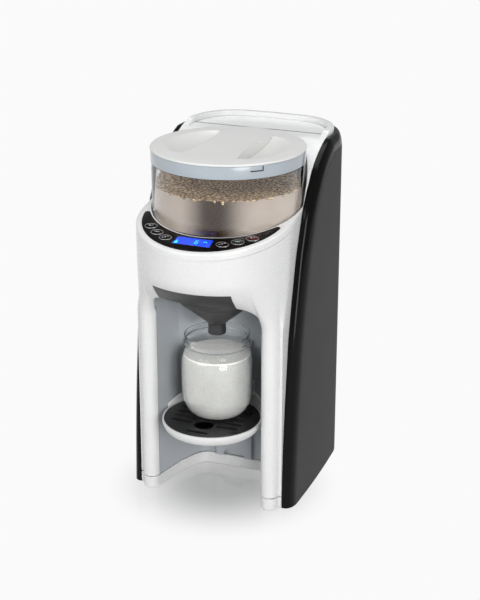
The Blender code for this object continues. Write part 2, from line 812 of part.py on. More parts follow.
def build_front_shell():
    """White head, arch and posts."""
    base = SEAM_Z + GAP / 2
    levels = [base, (base + SWEEP_LOW_Z) / 2]
    levels += [SWEEP_LOW_Z + SWEEP_HEIGHT * share for share in FRONT_LEVEL_SHARES]
    levels += [DECK_Z, FRONT_TOP_Z]
    outer = [front_ring(z, flank_y(z) + FLANK_TUCK) for z in levels]
    inner = [hollow_ring(z, flank_y(z) + FLANK_TUCK + OVERRUN) for z in levels]
    inner.insert(0, [(x, y, z - OVERRUN) for x, y, z in inner[0]])
    inner.append([(x, y, z + OVERRUN) for x, y, z in inner[-1]])
    shell = loft("front_shell", outer, "white_gloss")
    cut(shell, post_screw_hole("screw_left", -1), post_screw_hole("screw_right", 1))
    cut(shell, loft("front_room", inner), over_deck("crease", DECK_SKIRT), well_cutter(SEAT_Z - GAP))
    near = HEAD_Y - HEAD_DEPTH - OVERRUN
    cut(shell, bay_space("bay", 0.0, BAY_CEILING_Z - GAP, near))
    liner_half = BAY_HALF + LINER_WALL + GAP
    cut(shell, box("liner_room", (-liner_half, BAY_FRONT_Y - GAP, 0.0),
                   (liner_half, POST_SOLID_Y + OVERRUN, BAY_CEILING_Z + LINER_WALL + GAP)))
    cover_half = COVER_HALF + GAP
    return cut(shell, box("cover_room", (-cover_half, near, BAY_CEILING_Z - OVERRUN),
                          (cover_half, HEAD_Y, COVER_TOP_Z + GAP)))


def build_bay_liner():
    """Inner wall, ceiling, funnel tunnel and tray rail of the bottle bay."""
    low = SEAM_Z + GAP / 2
    top = BAY_CEILING_Z + LINER_WALL
    liner = prism("bay_liner", mirrored(bay_half(LINER_WALL)), low, top, "white_inner")
    front_half = [(x, y) for x, y in hollow_half(BAY_CEILING_Z, RUN_GAP) if x < BAY_HALF]
    ceiling = front_half + [(BAY_HALF, BAY_FRONT_Y + WALL)]
    fuse(liner, prism("ceiling", mirrored(ceiling), BAY_CEILING_Z, top))
    cut(liner, bay_space("bay", low - OVERRUN, BAY_CEILING_Z, BAY_FRONT_Y - OVERRUN))
    tunnel_rear = SPOUT_Y + TUNNEL_HALF
    outer_half = TUNNEL_HALF + LINER_WALL
    fuse(liner, box("tunnel", (-outer_half, BAY_FRONT_Y, BAY_CEILING_Z + LINER_WALL / 2),
                    (outer_half, tunnel_rear + LINER_WALL, TUNNEL_ROOF_Z + LINER_WALL)))
    cut(liner, box("tunnel_room", (-TUNNEL_HALF, BAY_FRONT_Y - OVERRUN, top),
                   (TUNNEL_HALF, tunnel_rear, TUNNEL_ROOF_Z)))
    slot_half = FUNNEL_RADIUS + RUN_GAP
    slot_front = HEAD_Y - HEAD_DEPTH
    slot = [(slot_half, slot_front)] + arc((0.0, SPOUT_Y), slot_half, 0, 90, SMALL_STEPS // 2)
    slot_outline = mirrored(slot)
    cut(liner, prism("funnel_slot", slot_outline, BAY_CEILING_Z - LINER_WALL, top + GAP))
    roof = (TUNNEL_ROOF_Z - LINER_WALL, TUNNEL_ROOF_Z + 2 * LINER_WALL)
    cut(liner, cylinder("chute_hole", CHUTE_RADIUS + GAP, *roof, (0.0, SPOUT_Y)),
        cylinder("nozzle_hole", NOZZLE_RADIUS + GAP, *roof, (NOZZLE_X, SPOUT_Y)))
    rail = box("rail", (-RAIL_HALF, BAY_REAR_Y - RAIL_DEPTH, low),
               (RAIL_HALF, BAY_REAR_Y + LINER_WALL / 2, RAIL_TOP_Z))
    groove_rear = BAY_REAR_Y - RAIL_BACK
    for side in (-1, 1):
        near_x, far_x = sorted((side * (RAIL_HALF - RAIL_GROOVE), side * (RAIL_HALF + OVERRUN)))
        cut(rail, box("groove", (near_x, groove_rear - RAIL_GROOVE, low - OVERRUN),
                      (far_x, groove_rear, RAIL_TOP_Z + OVERRUN)))
    return fuse(liner, rail)


def base_half(extra):
    """Right half of the horseshoe base, from the bay's rear wall to the machine's rear, drawn in by extra."""
    bay = list(reversed(bay_half(extra)))
    post = arc((POST_X, POST_Y), POST_RADIUS - extra, POST_ANGLES[0], POST_ANGLES[-2], len(POST_ANGLES) - 2)
    front = [(x, y) for x, y in post if x > BAY_HALF + extra]
    shoulder = [(POST_X + POST_RADIUS - extra, POST_Y + extra), (BODY_HALF - extra, POST_Y + extra)]
    return bay + front + shoulder + inner_half(extra, FLANK_FRONT_Y + FLANK_TUCK)


def sides():
    """The two sides' names and directions."""
    return (("left", -1), ("right", 1))


def screw_places():
    """The base screws' names and places: two in the posts and two in the tank platform's rear legs."""
    places = {}
    for label, side in sides():
        places[f"screw_post_{label}"] = (side * POST_SCREW[0], POST_SCREW[1])
        places[f"screw_leg_{label}"] = (side * LEG_X, LEG_YS[1])
    return places


def foot_places():
    """The rubber feet's names and places."""
    return {f"foot_{end}_{label}": (side * x, y) for label, side in sides()
            for end, (x, y) in FOOT_PLACES.items()}


def build_base_plate():
    """White skirt and floor under the seam, open where the bay meets the table."""
    top = SEAM_Z - GAP / 2
    plate = prism("base_plate", mirrored(base_half(0.0)), FLOOR_LIFT, top, "white_gloss")
    room = prism("base_room", mirrored(base_half(WALL)), FLOOR_LIFT + WALL, top + OVERRUN)
    boss_places = list(screw_places().values()) + [(side * LEG_X, LEG_YS[0]) for _, side in sides()]
    for place in boss_places:
        cut(room, cylinder("boss", BOSS_RADIUS, FLOOR_LIFT, top + 2 * OVERRUN, place))
    cut(plate, room)
    ledge = SCREW_HEAD_Z + SCREW_HEAD_HEIGHT + GAP
    for place in screw_places().values():
        cut(plate, cylinder("screw_hole", SCREW_RADIUS + GAP, 0.0, top + OVERRUN, place, steps=SCREW_STEPS),
            cylinder("head_hole", SCREW_HEAD_RADIUS + GAP, 0.0, ledge, place, steps=SCREW_STEPS))
    for place in foot_places().values():
        cut(plate, cylinder("foot_hole", FOOT_RADIUS + GAP, 0.0, FOOT_HEIGHT + GAP, place))
    return plate


def build_base_fittings():
    """Rubber feet and base screws."""
    for name, place in foot_places().items():
        cylinder(name, FOOT_RADIUS, 0.0, FOOT_HEIGHT, place, "black_rubber")
    head_top = SCREW_HEAD_Z + SCREW_HEAD_HEIGHT
    for name, place in screw_places().items():
        profile = [(0.0, SCREW_HEAD_Z), (SCREW_HEAD_RADIUS, SCREW_HEAD_Z),
                   (SCREW_HEAD_RADIUS, head_top), (SCREW_RADIUS, head_top),
                   (SCREW_RADIUS, SCREW_TOP_Z), (0.0, SCREW_TOP_Z)]
        turned(name, profile, place, "steel", SCREW_STEPS)


def panel_outline(extra):
    """The control panel's crescent in plan, drawn in by extra."""
    reach = PANEL_OUTER_RADIUS - PANEL_END_ROUND
    back = PANEL_INNER_RADIUS + PANEL_END_ROUND
    between = CONTAINER_Y - HEAD_Y
    end_y = (back ** 2 - reach ** 2 - between ** 2) / (2 * between)
    end_x = sqrt(reach ** 2 - end_y ** 2)
    end = Vector((end_x, HEAD_Y - end_y))
    to_end = Vector((end.x, end.y - HEAD_Y)).normalized()
    from_well = Vector((end.x, end.y - CONTAINER_Y)).normalized()
    outer_angle = degrees_of(to_end)
    inner_angle = degrees_of(from_well)
    front = arc((0.0, HEAD_Y), PANEL_OUTER_RADIUS - extra, -90, outer_angle, PANEL_STEPS)
    tip = arc(end, PANEL_END_ROUND - extra, outer_angle, inner_angle + 180, PANEL_END_STEPS)
    rear = arc((0.0, CONTAINER_Y), PANEL_INNER_RADIUS + extra, inner_angle, -90, PANEL_STEPS)
    return mirrored(front + tip[1:-1] + rear)


def degrees_of(direction):
    """A direction's angle in degrees, from -180 to 180."""
    return direction.to_2d().angle_signed(Vector((1.0, 0.0))) * 180 / pi


def oval(center, long_half, short_half):
    """An oval outline."""
    turn = 2 * pi / SMALL_STEPS
    return [(center[0] + long_half * cos(turn * k), center[1] + short_half * sin(turn * k))
            for k in range(SMALL_STEPS)]


def button_places():
    """The six buttons' names and places."""
    places = []
    for label, side in sides():
        for number, (x, y) in enumerate(BUTTON_PLACES, 1):
            places.append((f"button_{label}_{number}", (side * x, y)))
    return places


def lcd_outline(extra):
    """The display's outline, drawn in by extra."""
    return [(extra - LCD_BOTTOM_HALF, LCD_BOTTOM_Y + extra), (LCD_BOTTOM_HALF - extra, LCD_BOTTOM_Y + extra),
            (LCD_TOP_HALF - extra, LCD_TOP_Y - extra), (extra - LCD_TOP_HALF, LCD_TOP_Y - extra)]


def build_deck_cover():
    """White sloping lip and plate round the control panel and the container."""
    half = [(x, head_y(x, DECK_Z)) for x in front_xs()]
    outline = across_front(half) + [(BODY_HALF, DECK_REAR_Y), (-BODY_HALF, DECK_REAR_Y)]
    drawn = inset(outline, LIP_ROUND)
    rings = [[(x, y, deck_z(y, DECK_SKIRT - GAP)) for x, y in outline],
             [(x, y, deck_z(y, LIP_ROUND)) for x, y in outline],
             [(x, y, deck_z(y)) for x, y in drawn]]
    deck = loft("deck_cover", rings, "white_gloss")
    room = inset(outline, WALL)
    low = [(x, y, deck_z(y, DECK_SKIRT + OVERRUN)) for x, y in room]
    high = [(x, y, deck_z(y, DECK_PLATE)) for x, y in room]
    cut(deck, loft("deck_room", [low, high]), well_cutter(CASE_Z))
    depth = BEZEL_THICKNESS + OVERRUN
    return cut(deck, deck_prism("panel_hole", panel_outline(0.0), -depth, OVERRUN))


def build_control_panel():
    """Bezel, trim plate with its rings, six buttons, display and their board."""
    low = BEZEL_PROUD - BEZEL_THICKNESS
    bezel = deck_prism("control_bezel", panel_outline(GAP), low, BEZEL_PROUD, "panel_black")
    depth = OVERRUN + BEZEL_THICKNESS
    cut(bezel, deck_prism("lcd_hole", lcd_outline(-GAP), -depth, OVERRUN))
    window_top = BEZEL_PROUD - GAP / 2
    window_low = window_top - LCD_THICKNESS
    deck_prism("lcd_window", lcd_outline(0.0), window_low, window_top, "lcd_blue")
    display_low = window_low - GAP - DISPLAY_DEPTH
    deck_prism("display_module", lcd_outline(GAP), display_low, window_low - GAP, "steel")
    board_top = display_low - GAP
    deck_prism("control_board", panel_outline(BOARD_MARGIN), board_top - BOARD_THICKNESS, board_top,
               "board_green")
    trim_top = low - GAP
    trim_low = trim_top - TRIM_THICKNESS
    trim = deck_prism("button_trim", panel_outline(BOARD_MARGIN), trim_low, trim_top, "bright_metal")
    cut(trim, deck_prism("display_hole", lcd_outline(-GAP), -depth, 0.0))
    ring_long = BUTTON_LONG + RING_WIDTH
    ring_short = BUTTON_SHORT + RING_WIDTH
    stem_low = board_top + BUTTON_TRAVEL + GAP
    for name, place in button_places():
        cut(bezel, deck_prism("ring_hole", oval(place, ring_long + GAP, ring_short + GAP), -depth, OVERRUN))
        ring_low = trim_top - TRIM_THICKNESS / 2
        fuse(trim, deck_prism("ring", oval(place, ring_long, ring_short), ring_low, RING_PROUD))
        cut(trim, deck_prism("ring_bore", oval(place, BUTTON_LONG, BUTTON_SHORT), -depth, OVERRUN))
        cap = deck_prism(name, oval(place, BUTTON_LONG - GAP, BUTTON_SHORT - GAP), -BUTTON_DEPTH,
                         BUTTON_PROUD, "panel_black")
        stem = deck_prism("stem", circle(STEM_RADIUS, place, SMALL_STEPS // 2), stem_low, GAP - BUTTON_DEPTH)
        fuse(cap, stem)
        set_pivot(cap, on_deck([place], 0.0)[0])


def build_container_seat():
    """Round plate under the container, with the powder outlet and the spindle's hole."""
    profile = ring_profile(SPINDLE_RADIUS + GAP, SEAT_RADIUS, SEAT_Z, SEAT_Z + SEAT_THICKNESS)
    seat = turned("container_seat", profile, (0.0, CONTAINER_Y), "white_inner")
    hole = cylinder("outlet", CHUTE_BORE, SEAT_Z - OVERRUN, SEAT_Z + OVERRUN + SEAT_THICKNESS,
                    (0.0, SPOUT_Y))
    cut(seat, hole)
    profile = ring_profile(CHUTE_BORE, CHUTE_RADIUS, TUNNEL_ROOF_Z - CHUTE_DROP, SEAT_Z - GAP)
    turned("powder_chute", profile, (0.0, SPOUT_Y), "white_inner", SMALL_STEPS)


def build_container():
    """Clear drum, collar, powder, wheel and arms."""
    center = (0.0, CONTAINER_Y)
    low = SEAT_Z + SEAT_THICKNESS + GAP
    floor = low + CONTAINER_FLOOR
    top = COLLAR_Z - GAP
    inner = CONTAINER_RADIUS - CONTAINER_WALL
    profile = [(SPINDLE_RADIUS + RUN_GAP, low), (CONTAINER_RADIUS - CONTAINER_ROUND, low),
               (CONTAINER_RADIUS, low + CONTAINER_ROUND), (CONTAINER_RADIUS, top), (inner, top),
               (inner, floor), (SPINDLE_RADIUS + RUN_GAP, floor)]
    drum = turned("powder_container", profile, center, "clear_plastic")
    cut(drum, cylinder("outlet", CHUTE_BORE, low - OVERRUN, floor + OVERRUN, (0.0, SPOUT_Y)))
    collar_inner = COLLAR_RADIUS - COLLAR_WALL
    skirt = inner - GAP
    profile = [(COLLAR_RADIUS, COLLAR_Z), (COLLAR_RADIUS, COLLAR_TOP_Z), (collar_inner, COLLAR_TOP_Z),
               (collar_inner, COLLAR_Z + COLLAR_WALL), (skirt - COLLAR_WALL, COLLAR_Z + COLLAR_WALL),
               (skirt - COLLAR_WALL, COLLAR_Z - COLLAR_SKIRT), (skirt, COLLAR_Z - COLLAR_SKIRT),
               (skirt, COLLAR_Z)]
    collar = turned("container_collar", profile, center, "collar_grey")
    cut(collar, *mark_cutters())
    wheel_low = floor + GAP
    wheel_top = wheel_low + WHEEL_HEIGHT
    hub_top = wheel_low + WHEEL_HUB_HEIGHT
    profile = [(0.0, wheel_low), (WHEEL_RADIUS, wheel_low), (WHEEL_RADIUS, wheel_top),
               (WHEEL_HUB_RADIUS, wheel_top), (WHEEL_HUB_RADIUS, hub_top), (0.0, hub_top)]
    wheel = turned("stirring_wheel", profile, center, "white_inner")
    socket = SPINDLE_HEX_RADIUS + RUN_GAP
    cut(wheel, cylinder("hex_socket", socket, low, SPINDLE_TOP_Z + RUN_GAP, center, steps=6))
    reach = CONTAINER_Y - SPOUT_Y
    for k in range(WHEEL_POCKETS):
        angle = 2 * pi * (k + 1 / 2) / WHEEL_POCKETS - pi / 2
        place = (reach * cos(angle), CONTAINER_Y + reach * sin(angle))
        cut(wheel, cylinder("pocket", POCKET_HOLE_RADIUS, low, hub_top, place))
    set_pivot(wheel, (0.0, CONTAINER_Y, wheel_low))
    build_arms(wheel_top + GAP)
    outer = inner - GAP
    cavity = floor + CAVITY_HEIGHT
    profile = [(POWDER_CAVITY_RADIUS, floor + GAP), (outer, floor + GAP), (outer, POWDER_TOP_Z),
               (outer * 2 / 3, POWDER_TOP_Z - POWDER_DISH / 3), (outer / 3, POWDER_TOP_Z - POWDER_DISH),
               (0.0, POWDER_TOP_Z - POWDER_DISH), (0.0, cavity), (POWDER_CAVITY_RADIUS, cavity)]
    turned("powder", profile, center, "powder_cream")


def mark_cutters():
    """The two grooves of the lid's bayonet mark on the collar."""
    center = Vector((0.0, CONTAINER_Y, 0.0))
    low = COLLAR_TOP_Z - MARK_DROP
    inner = COLLAR_RADIUS - MARK_DEPTH
    outer = COLLAR_RADIUS + OVERRUN
    upright = MARK_WIDTH / COLLAR_RADIUS * 180 / pi
    made = []
    for first, last, top in ((MARK_ANGLE, MARK_ANGLE + upright, COLLAR_TOP_Z + OVERRUN),
                             (MARK_ANGLE - MARK_TURN, MARK_ANGLE + upright / 2, low + MARK_WIDTH)):
        outline = arc(center.to_2d(), inner, first, last, 2)
        outline += list(reversed(arc(center.to_2d(), outer, first, last, 2)))
        made.append(prism("mark", outline, low, top))
    return made


def build_arms(low):
    """Three stirring arms on a collar round the wheel's hub."""
    high = low + ARM_HEIGHT
    center = (0.0, CONTAINER_Y)
    collar_inner = WHEEL_HUB_RADIUS + GAP
    arms = turned("stirring_arms", ring_profile(collar_inner, collar_inner + ARM_WIDTH / 2, low, high),
                  center, "white_inner", MEDIUM_STEPS)
    reach = WHEEL_RADIUS - RUN_GAP
    start = collar_inner + ARM_WIDTH / 4
    for k in range(ARM_COUNT):
        angle = 2 * pi * k / ARM_COUNT
        turn = Matrix.Rotation(angle, 2)
        corners = ((start, -ARM_WIDTH / 2), (reach, -ARM_WIDTH / 3), (reach, ARM_WIDTH / 3),
                   (start, ARM_WIDTH / 2))
        outline = [tuple(turn @ Vector(point) + Vector(center)) for point in corners]
        fuse(arms, prism("arm", outline, low, high))
    set_pivot(arms, (0.0, CONTAINER_Y, low))


def scoop_cutter(side, top):
    """One finger scoop of the lid: deep along the grip bar, running out at its round edge."""
    rise = SCOOP_OUTER_X - SCOOP_INNER_X
    back = (SCOOP_HALF_Y ** 2 - rise ** 2) / (2 * rise)
    radius = rise + back
    reach = abs(degrees_of(Vector((back, SCOOP_HALF_Y))))
    edge = arc((SCOOP_INNER_X - back, 0.0), radius, -reach, reach, SCOOP_STEPS)
    work = bmesh.new()
    for x, y in edge:
        for z in (top, top + OVERRUN):
            work.verts.new((side * x, CONTAINER_Y + y, z))
    for k in range(1, SCOOP_STEPS):
        share = 2 * k / SCOOP_STEPS - 1
        depth = SCOOP_DEPTH * (1 - share * share)
        work.verts.new((side * SCOOP_INNER_X, CONTAINER_Y + SCOOP_HALF_Y * share, top - depth))
    bmesh.ops.convex_hull(work, input=work.verts)
    loose = [vert for vert in work.verts if not vert.link_faces]
    bmesh.ops.delete(work, geom=loose, context="VERTS")
    return from_bmesh("scoop", work)


def build_container_lid():
    """White lid with two finger scoops, and its gasket."""
    center = (0.0, CONTAINER_Y)
    low = COLLAR_TOP_Z + GAP
    edge = low + LID_EDGE
    dome = edge + LID_DOME
    plug = low - LID_PLUG_DEPTH
    profile = [(0.0, plug), (LID_PLUG_RADIUS, plug), (LID_PLUG_RADIUS, low), (LID_RADIUS, low),
               (LID_RADIUS, edge - LID_EDGE / 3), (LID_RADIUS - LID_EDGE / 3, edge),
               (LID_RADIUS * LID_DOME_SHARE, edge + LID_DOME * LID_DOME_SHARE), (0.0, dome)]
    lid = turned("container_lid", profile, center, "white_gloss")
    cut(lid, scoop_cutter(1, edge), scoop_cutter(-1, edge))
    set_pivot(lid, (0.0, CONTAINER_Y, low))
    gasket_inner = LID_PLUG_RADIUS + GAP
    gasket_low = plug + OVERRUN / 4
    turned("lid_gasket", ring_profile(gasket_inner, gasket_inner + GASKET_WALL, gasket_low,
                                      gasket_low + GASKET_HEIGHT), center, "black_rubber")


def gear_outline(teeth, center, phase):
    """A spur gear's outline, each flank a chord of its involute."""
    pitch = MODULE * teeth / 2
    base = pitch * cos(radians(PRESSURE_ANGLE))
    tip = pitch + MODULE * ADDENDUM_SHARE
    root = pitch - MODULE * DEDENDUM_SHARE
    half_tooth = pi * TOOTH_SHARE / teeth + involute(radians(PRESSURE_ANGLE))
    start = max(base, root)
    flank = [(radius, half_tooth - involute_at(radius, base)) for radius in (start, tip)]
    if root < base:
        flank.insert(0, (root, flank[0][1]))
    points = []
    for k in range(teeth):
        middle = phase + 2 * pi * k / teeth
        tooth = [(r, middle - w) for r, w in flank] + [(r, middle + w) for r, w in reversed(flank)]
        points += [(center[0] + r * cos(a), center[1] + r * sin(a)) for r, a in tooth]
    return points


def involute(angle):
    """The involute function."""
    return tan(angle) - angle


def involute_at(radius, base):
    """The involute angle where a flank reaches a radius."""
    ratio = max(radius / base, 1.0)
    slope = sqrt(ratio * ratio - 1.0)
    return slope - Vector((1.0, slope)).angle(Vector((1.0, 0.0)))


def motor_y():
    """Depth of the motor's axis, one gear distance behind the container's."""
    return CONTAINER_Y + MODULE * (GEAR_TEETH + PINION_TEETH) / 2


def build_drive():
    """Motor, pinion, drive gear, spindle and the case that carries them."""
    center = (0.0, CONTAINER_Y)
    motor = (0.0, motor_y())
    high = GEAR_Z + GEAR_THICKNESS
    gear = prism("drive_gear", gear_outline(GEAR_TEETH, center, 0.0), GEAR_Z, high, "gear_plastic")
    cut(gear, cylinder("gear_bore", SPINDLE_RADIUS + GAP, GEAR_Z - OVERRUN, high + OVERRUN, center))
    set_pivot(gear, (0.0, CONTAINER_Y, GEAR_Z))
    mesh_phase = pi / 2 + pi / PINION_TEETH + pi
    pinion = prism("motor_pinion", gear_outline(PINION_TEETH, motor, mesh_phase), GEAR_Z, high,
                   "gear_plastic")
    shaft_low = CASE_Z - GAP - MOTOR_SHAFT_DEPTH
    fuse(pinion, cylinder("shaft", MOTOR_SHAFT_RADIUS, shaft_low, high - GAP, motor))
    set_pivot(pinion, (0.0, motor_y(), GEAR_Z))
    spindle = cylinder("drive_spindle", SPINDLE_RADIUS, CASE_Z - OVERRUN / 2, SEAT_Z + SEAT_THICKNESS,
                       center, "steel")
    fuse(spindle, cylinder("hex", SPINDLE_HEX_RADIUS, high, SPINDLE_TOP_Z, center, steps=6))
    set_pivot(spindle, (0.0, CONTAINER_Y, GEAR_Z))
    gear_room = MODULE * (GEAR_TEETH / 2 + ADDENDUM_SHARE) + CASE_MARGIN
    pinion_room = MODULE * (PINION_TEETH / 2 + ADDENDUM_SHARE) + CASE_MARGIN
    case_top = SEAT_Z - GAP
    case = cylinder("gear_case", gear_room + CASE_WALL, CASE_Z, case_top, center, "white_inner",
                    MEDIUM_STEPS)
    fuse(case, cylinder("case_rear", pinion_room + CASE_WALL, CASE_Z, case_top, motor, steps=MEDIUM_STEPS))
    floor = CASE_Z + CASE_FLOOR
    cut(case, cylinder("gear_room", gear_room, floor, case_top + OVERRUN, center, steps=MEDIUM_STEPS),
        cylinder("pinion_room", pinion_room, floor, case_top + OVERRUN, motor, steps=MEDIUM_STEPS),
        cylinder("journal", SPINDLE_RADIUS + GAP, CASE_Z - OVERRUN, floor + OVERRUN, center),
        cylinder("shaft_hole", MOTOR_SHAFT_RADIUS + GAP, CASE_Z - OVERRUN, floor + OVERRUN, motor))
    can_top = CASE_Z - GAP
    can = cylinder("drive_motor", MOTOR_RADIUS, can_top - MOTOR_HEIGHT, can_top, motor, "steel",
                   MEDIUM_STEPS)
    cut(can, cylinder("shaft_room", MOTOR_SHAFT_RADIUS + GAP, shaft_low - GAP, can_top + OVERRUN, motor),
        cylinder("spindle_room", SPINDLE_RADIUS + RUN_GAP, CASE_Z - OVERRUN, can_top + OVERRUN, center))


def build_funnel():
    """Funnel with its sliding flange, and the cover that closes the head in front of it."""
    center = (0.0, SPOUT_Y)
    low = BAY_CEILING_Z + LINER_WALL + GAP
    high = low + FLANGE_THICKNESS
    outer = [(SPOUT_RADIUS, SPOUT_TIP_Z), (SPOUT_RADIUS, CONE_LOW_Z), (FUNNEL_RADIUS, CONE_TOP_Z),
             (FUNNEL_RADIUS, high)]
    inner = [(r - FUNNEL_WALL, z) for r, z in reversed(outer)]
    funnel = turned("funnel", outer + inner, center, "funnel_grey", MEDIUM_STEPS)
    line = [(FLANGE_HALF * share, front_y(FLANGE_HALF * share, low) + COVER_THICKNESS + RUN_GAP)
            for share in FLANGE_SHARES]
    rear_y = SPOUT_Y + FLANGE_HALF - GAP
    outline = across_front(line) + [(FLANGE_HALF, rear_y), (-FLANGE_HALF, rear_y)]
    flange = prism("flange", outline, low, high)
    cut(flange, cylinder("flange_hole", FUNNEL_RADIUS - FUNNEL_WALL / 2, low - OVERRUN, high + OVERRUN,
                         center, steps=MEDIUM_STEPS))
    fuse(funnel, flange)
    cover_low = BAY_CEILING_Z
    rings = []
    for share in COVER_LEVEL_SHARES:
        z = cover_low + (COVER_TOP_Z - cover_low) * share
        xs = [COVER_HALF * across for across in COVER_ACROSS_SHARES]
        front = [(x, front_y(x, z)) for x in xs]
        back = [(x, front_y(x, z) + COVER_THICKNESS) for x in reversed(xs)]
        rings.append(at_height(front + back, z))
    loft("funnel_cover", rings, "funnel_grey")


def build_nozzle():
    """Water nozzle through the tunnel's roof, with a barb for its hose."""
    place = (NOZZLE_X, SPOUT_Y)
    nozzle = cylinder("water_nozzle", NOZZLE_RADIUS, NOZZLE_TIP_Z, NOZZLE_TOP_Z, place, "hose_grey")
    start = (NOZZLE_X, SPOUT_Y, NOZZLE_BARB_Z)
    end = (NOZZLE_X, SPOUT_Y + NOZZLE_BARB, NOZZLE_BARB_Z)
    fuse(nozzle, rod("barb", start, end, NOZZLE_BARB_RADIUS))


def build_top_cover():
    """White rear and top housing: pocket behind the container, recess and raised rim."""
    levels = [(TOP_COVER_Z, flank_y(TOP_COVER_Z))]
    levels += [(z, y) for y, z in flank_points() if z > FRONT_TOP_Z]
    outer = [at_height(mirrored(inner_half(0.0, y)), z) for z, y in levels]
    rim_front = [levels[-1][1] + FLANK_SWEEP * share for share in RIM_SHARES]
    outer.append(at_height(mirrored(inner_half(0.0, rim_front[0])), RIM_TOP_Z - RIM_ROUND))
    outer.append(at_height(mirrored(inner_half(RIM_ROUND, rim_front[1])), RIM_TOP_Z))
    cover = loft("top_cover", outer, "white_gloss")
    inner = []
    for z, y in levels[:-2]:
        inner.append(at_height(mirrored(inner_half(WALL, y + WALL)), z - WALL))
    last = levels[-2][1] + WALL
    inner.append(at_height(mirrored(inner_half(WALL, last)), RECESS_Z - WALL))
    inner.insert(0, [(x, y, z - OVERRUN) for x, y, z in inner[0]])
    room = loft("cover_room", inner)
    pocket_wall = cylinder("pocket_wall", POCKET_RADIUS + WALL, CASE_Z, RIM_TOP_Z, (0.0, CONTAINER_Y),
                           steps=ROUND_STEPS)
    cut(room, pocket_wall)
    cut(cover, room)
    cut(cover, cylinder("pocket", POCKET_RADIUS, CASE_Z, RIM_TOP_Z + OVERRUN, (0.0, CONTAINER_Y),
                        steps=ROUND_STEPS))
    recess = mirrored(inner_half(RIM_WIDTH, HEAD_Y))
    cut(cover, prism("recess", recess, RECESS_Z, RIM_TOP_Z + OVERRUN))
    opening = mirrored(inner_half(RIM_WIDTH, TANK_LID_FRONT_Y - TANK_OPENING_GAP))
    cut(cover, prism("tank_opening", opening, RECESS_Z - OVERRUN - WALL, RECESS_Z + OVERRUN))
    return cut(cover, under_deck("deck_plane", GAP))


def build_tank():
    """Water tank with its lift-off lid, outlet valve and platform."""
    lid_low = RECESS_Z - TANK_LID_THICKNESS
    lid_outline = mirrored(inner_half(RIM_WIDTH + TANK_OPENING_GAP, TANK_LID_FRONT_Y))
    lid = prism("tank_lid", lid_outline, lid_low, RECESS_Z, "white_gloss")
    extra = RIM_WIDTH + TANK_OPENING_GAP + TANK_INSET
    outline = mirrored(inner_half(extra, TANK_LID_FRONT_Y + TANK_INSET))
    plug = inset(outline, TANK_WALL + RUN_GAP)
    fuse(lid, prism("lid_plug", plug, lid_low - TANK_LID_PLUG, lid_low + GAP))
    set_pivot(lid, (0.0, OUTLET_Y, lid_low))
    tank = prism("water_tank", outline, TANK_Z, lid_low - RUN_GAP, "clear_plastic")
    outlet = (0.0, OUTLET_Y)
    fuse(tank, cylinder("outlet", OUTLET_RADIUS, TANK_Z - OUTLET_DROP, TANK_Z + GAP, outlet))
    cut(tank, prism("tank_room", inset(outline, TANK_WALL), TANK_Z + TANK_WALL, lid_low + OVERRUN),
        cylinder("outlet_bore", OUTLET_BORE, TANK_Z - OUTLET_DROP - OVERRUN, TANK_Z + OVERRUN, outlet))
    floor = TANK_Z + TANK_WALL + GAP
    valve = cylinder("tank_valve", VALVE_DISC_RADIUS, floor, floor + VALVE_DISC_HEIGHT, outlet,
                     "black_rubber")
    fuse(valve, cylinder("stem", VALVE_STEM_RADIUS, floor - VALVE_STEM, floor + GAP, outlet))
    set_pivot(valve, (0.0, OUTLET_Y, floor))
    top = TANK_Z - GAP
    platform = prism("tank_platform", outline, top - PLATFORM_THICKNESS, top, "white_inner")
    socket_low = top - SOCKET_HEIGHT - PLATFORM_THICKNESS
    fuse(platform, cylinder("socket", SOCKET_RADIUS, socket_low, top, outlet))
    cut(platform, cylinder("socket_bore", SOCKET_BORE, socket_low + SOCKET_FLOOR, top + OVERRUN, outlet))
    pin_top = floor - VALVE_STEM - GAP
    fuse(platform, cylinder("pin", PIN_RADIUS, socket_low + GAP, pin_top, outlet),
         cylinder("port", PORT_RADIUS, socket_low - PORT_LENGTH, socket_low + GAP, outlet))
    leg_low = SEAM_Z + GAP / 2
    for side in (-1, 1):
        for y in LEG_YS:
            leg = cylinder("leg", LEG_RADIUS, leg_low, top - GAP, (side * LEG_X, y))
            hole = cylinder("leg_hole", SCREW_RADIUS + GAP, 0.0, SCREW_TOP_Z + GAP, (side * LEG_X, y),
                            steps=SCREW_STEPS)
            fuse(platform, cut(leg, hole))
    return socket_low - PORT_LENGTH


def smooth_route(points):
    """A smooth curve through a hose's points, with a straight run at each end."""
    route = [Vector(point) for point in points]
    made = [route[0]]
    for a, b, c, d in zip(route, route[1:], route[2:], route[3:]):
        for k in range(HOSE_SPAN_POINTS):
            t = k / HOSE_SPAN_POINTS
            made.append((b * 2 + (c - a) * t + (a * 2 - b * 5 + c * 4 - d) * t ** 2
                         + (b * 3 - a - c * 3 + d) * t ** 3) / 2)
    return made + route[-2:]


def hose(name, points):
    """A hose along a smooth route, as a filled curve."""
    route = smooth_route(points)
    curve = bpy.data.curves.new(name, "CURVE")
    curve.dimensions = "3D"
    curve.bevel_depth = HOSE_RADIUS
    curve.bevel_resolution = 2
    curve.use_fill_caps = True
    line = curve.splines.new("POLY")
    line.points.add(len(route) - 1)
    for point, place in zip(line.points, route):
        point.co = (*place, 1.0)
    item = bpy.data.objects.new(name, curve)
    bpy.context.scene.collection.objects.link(item)
    curve.materials.append(finish("hose_grey"))


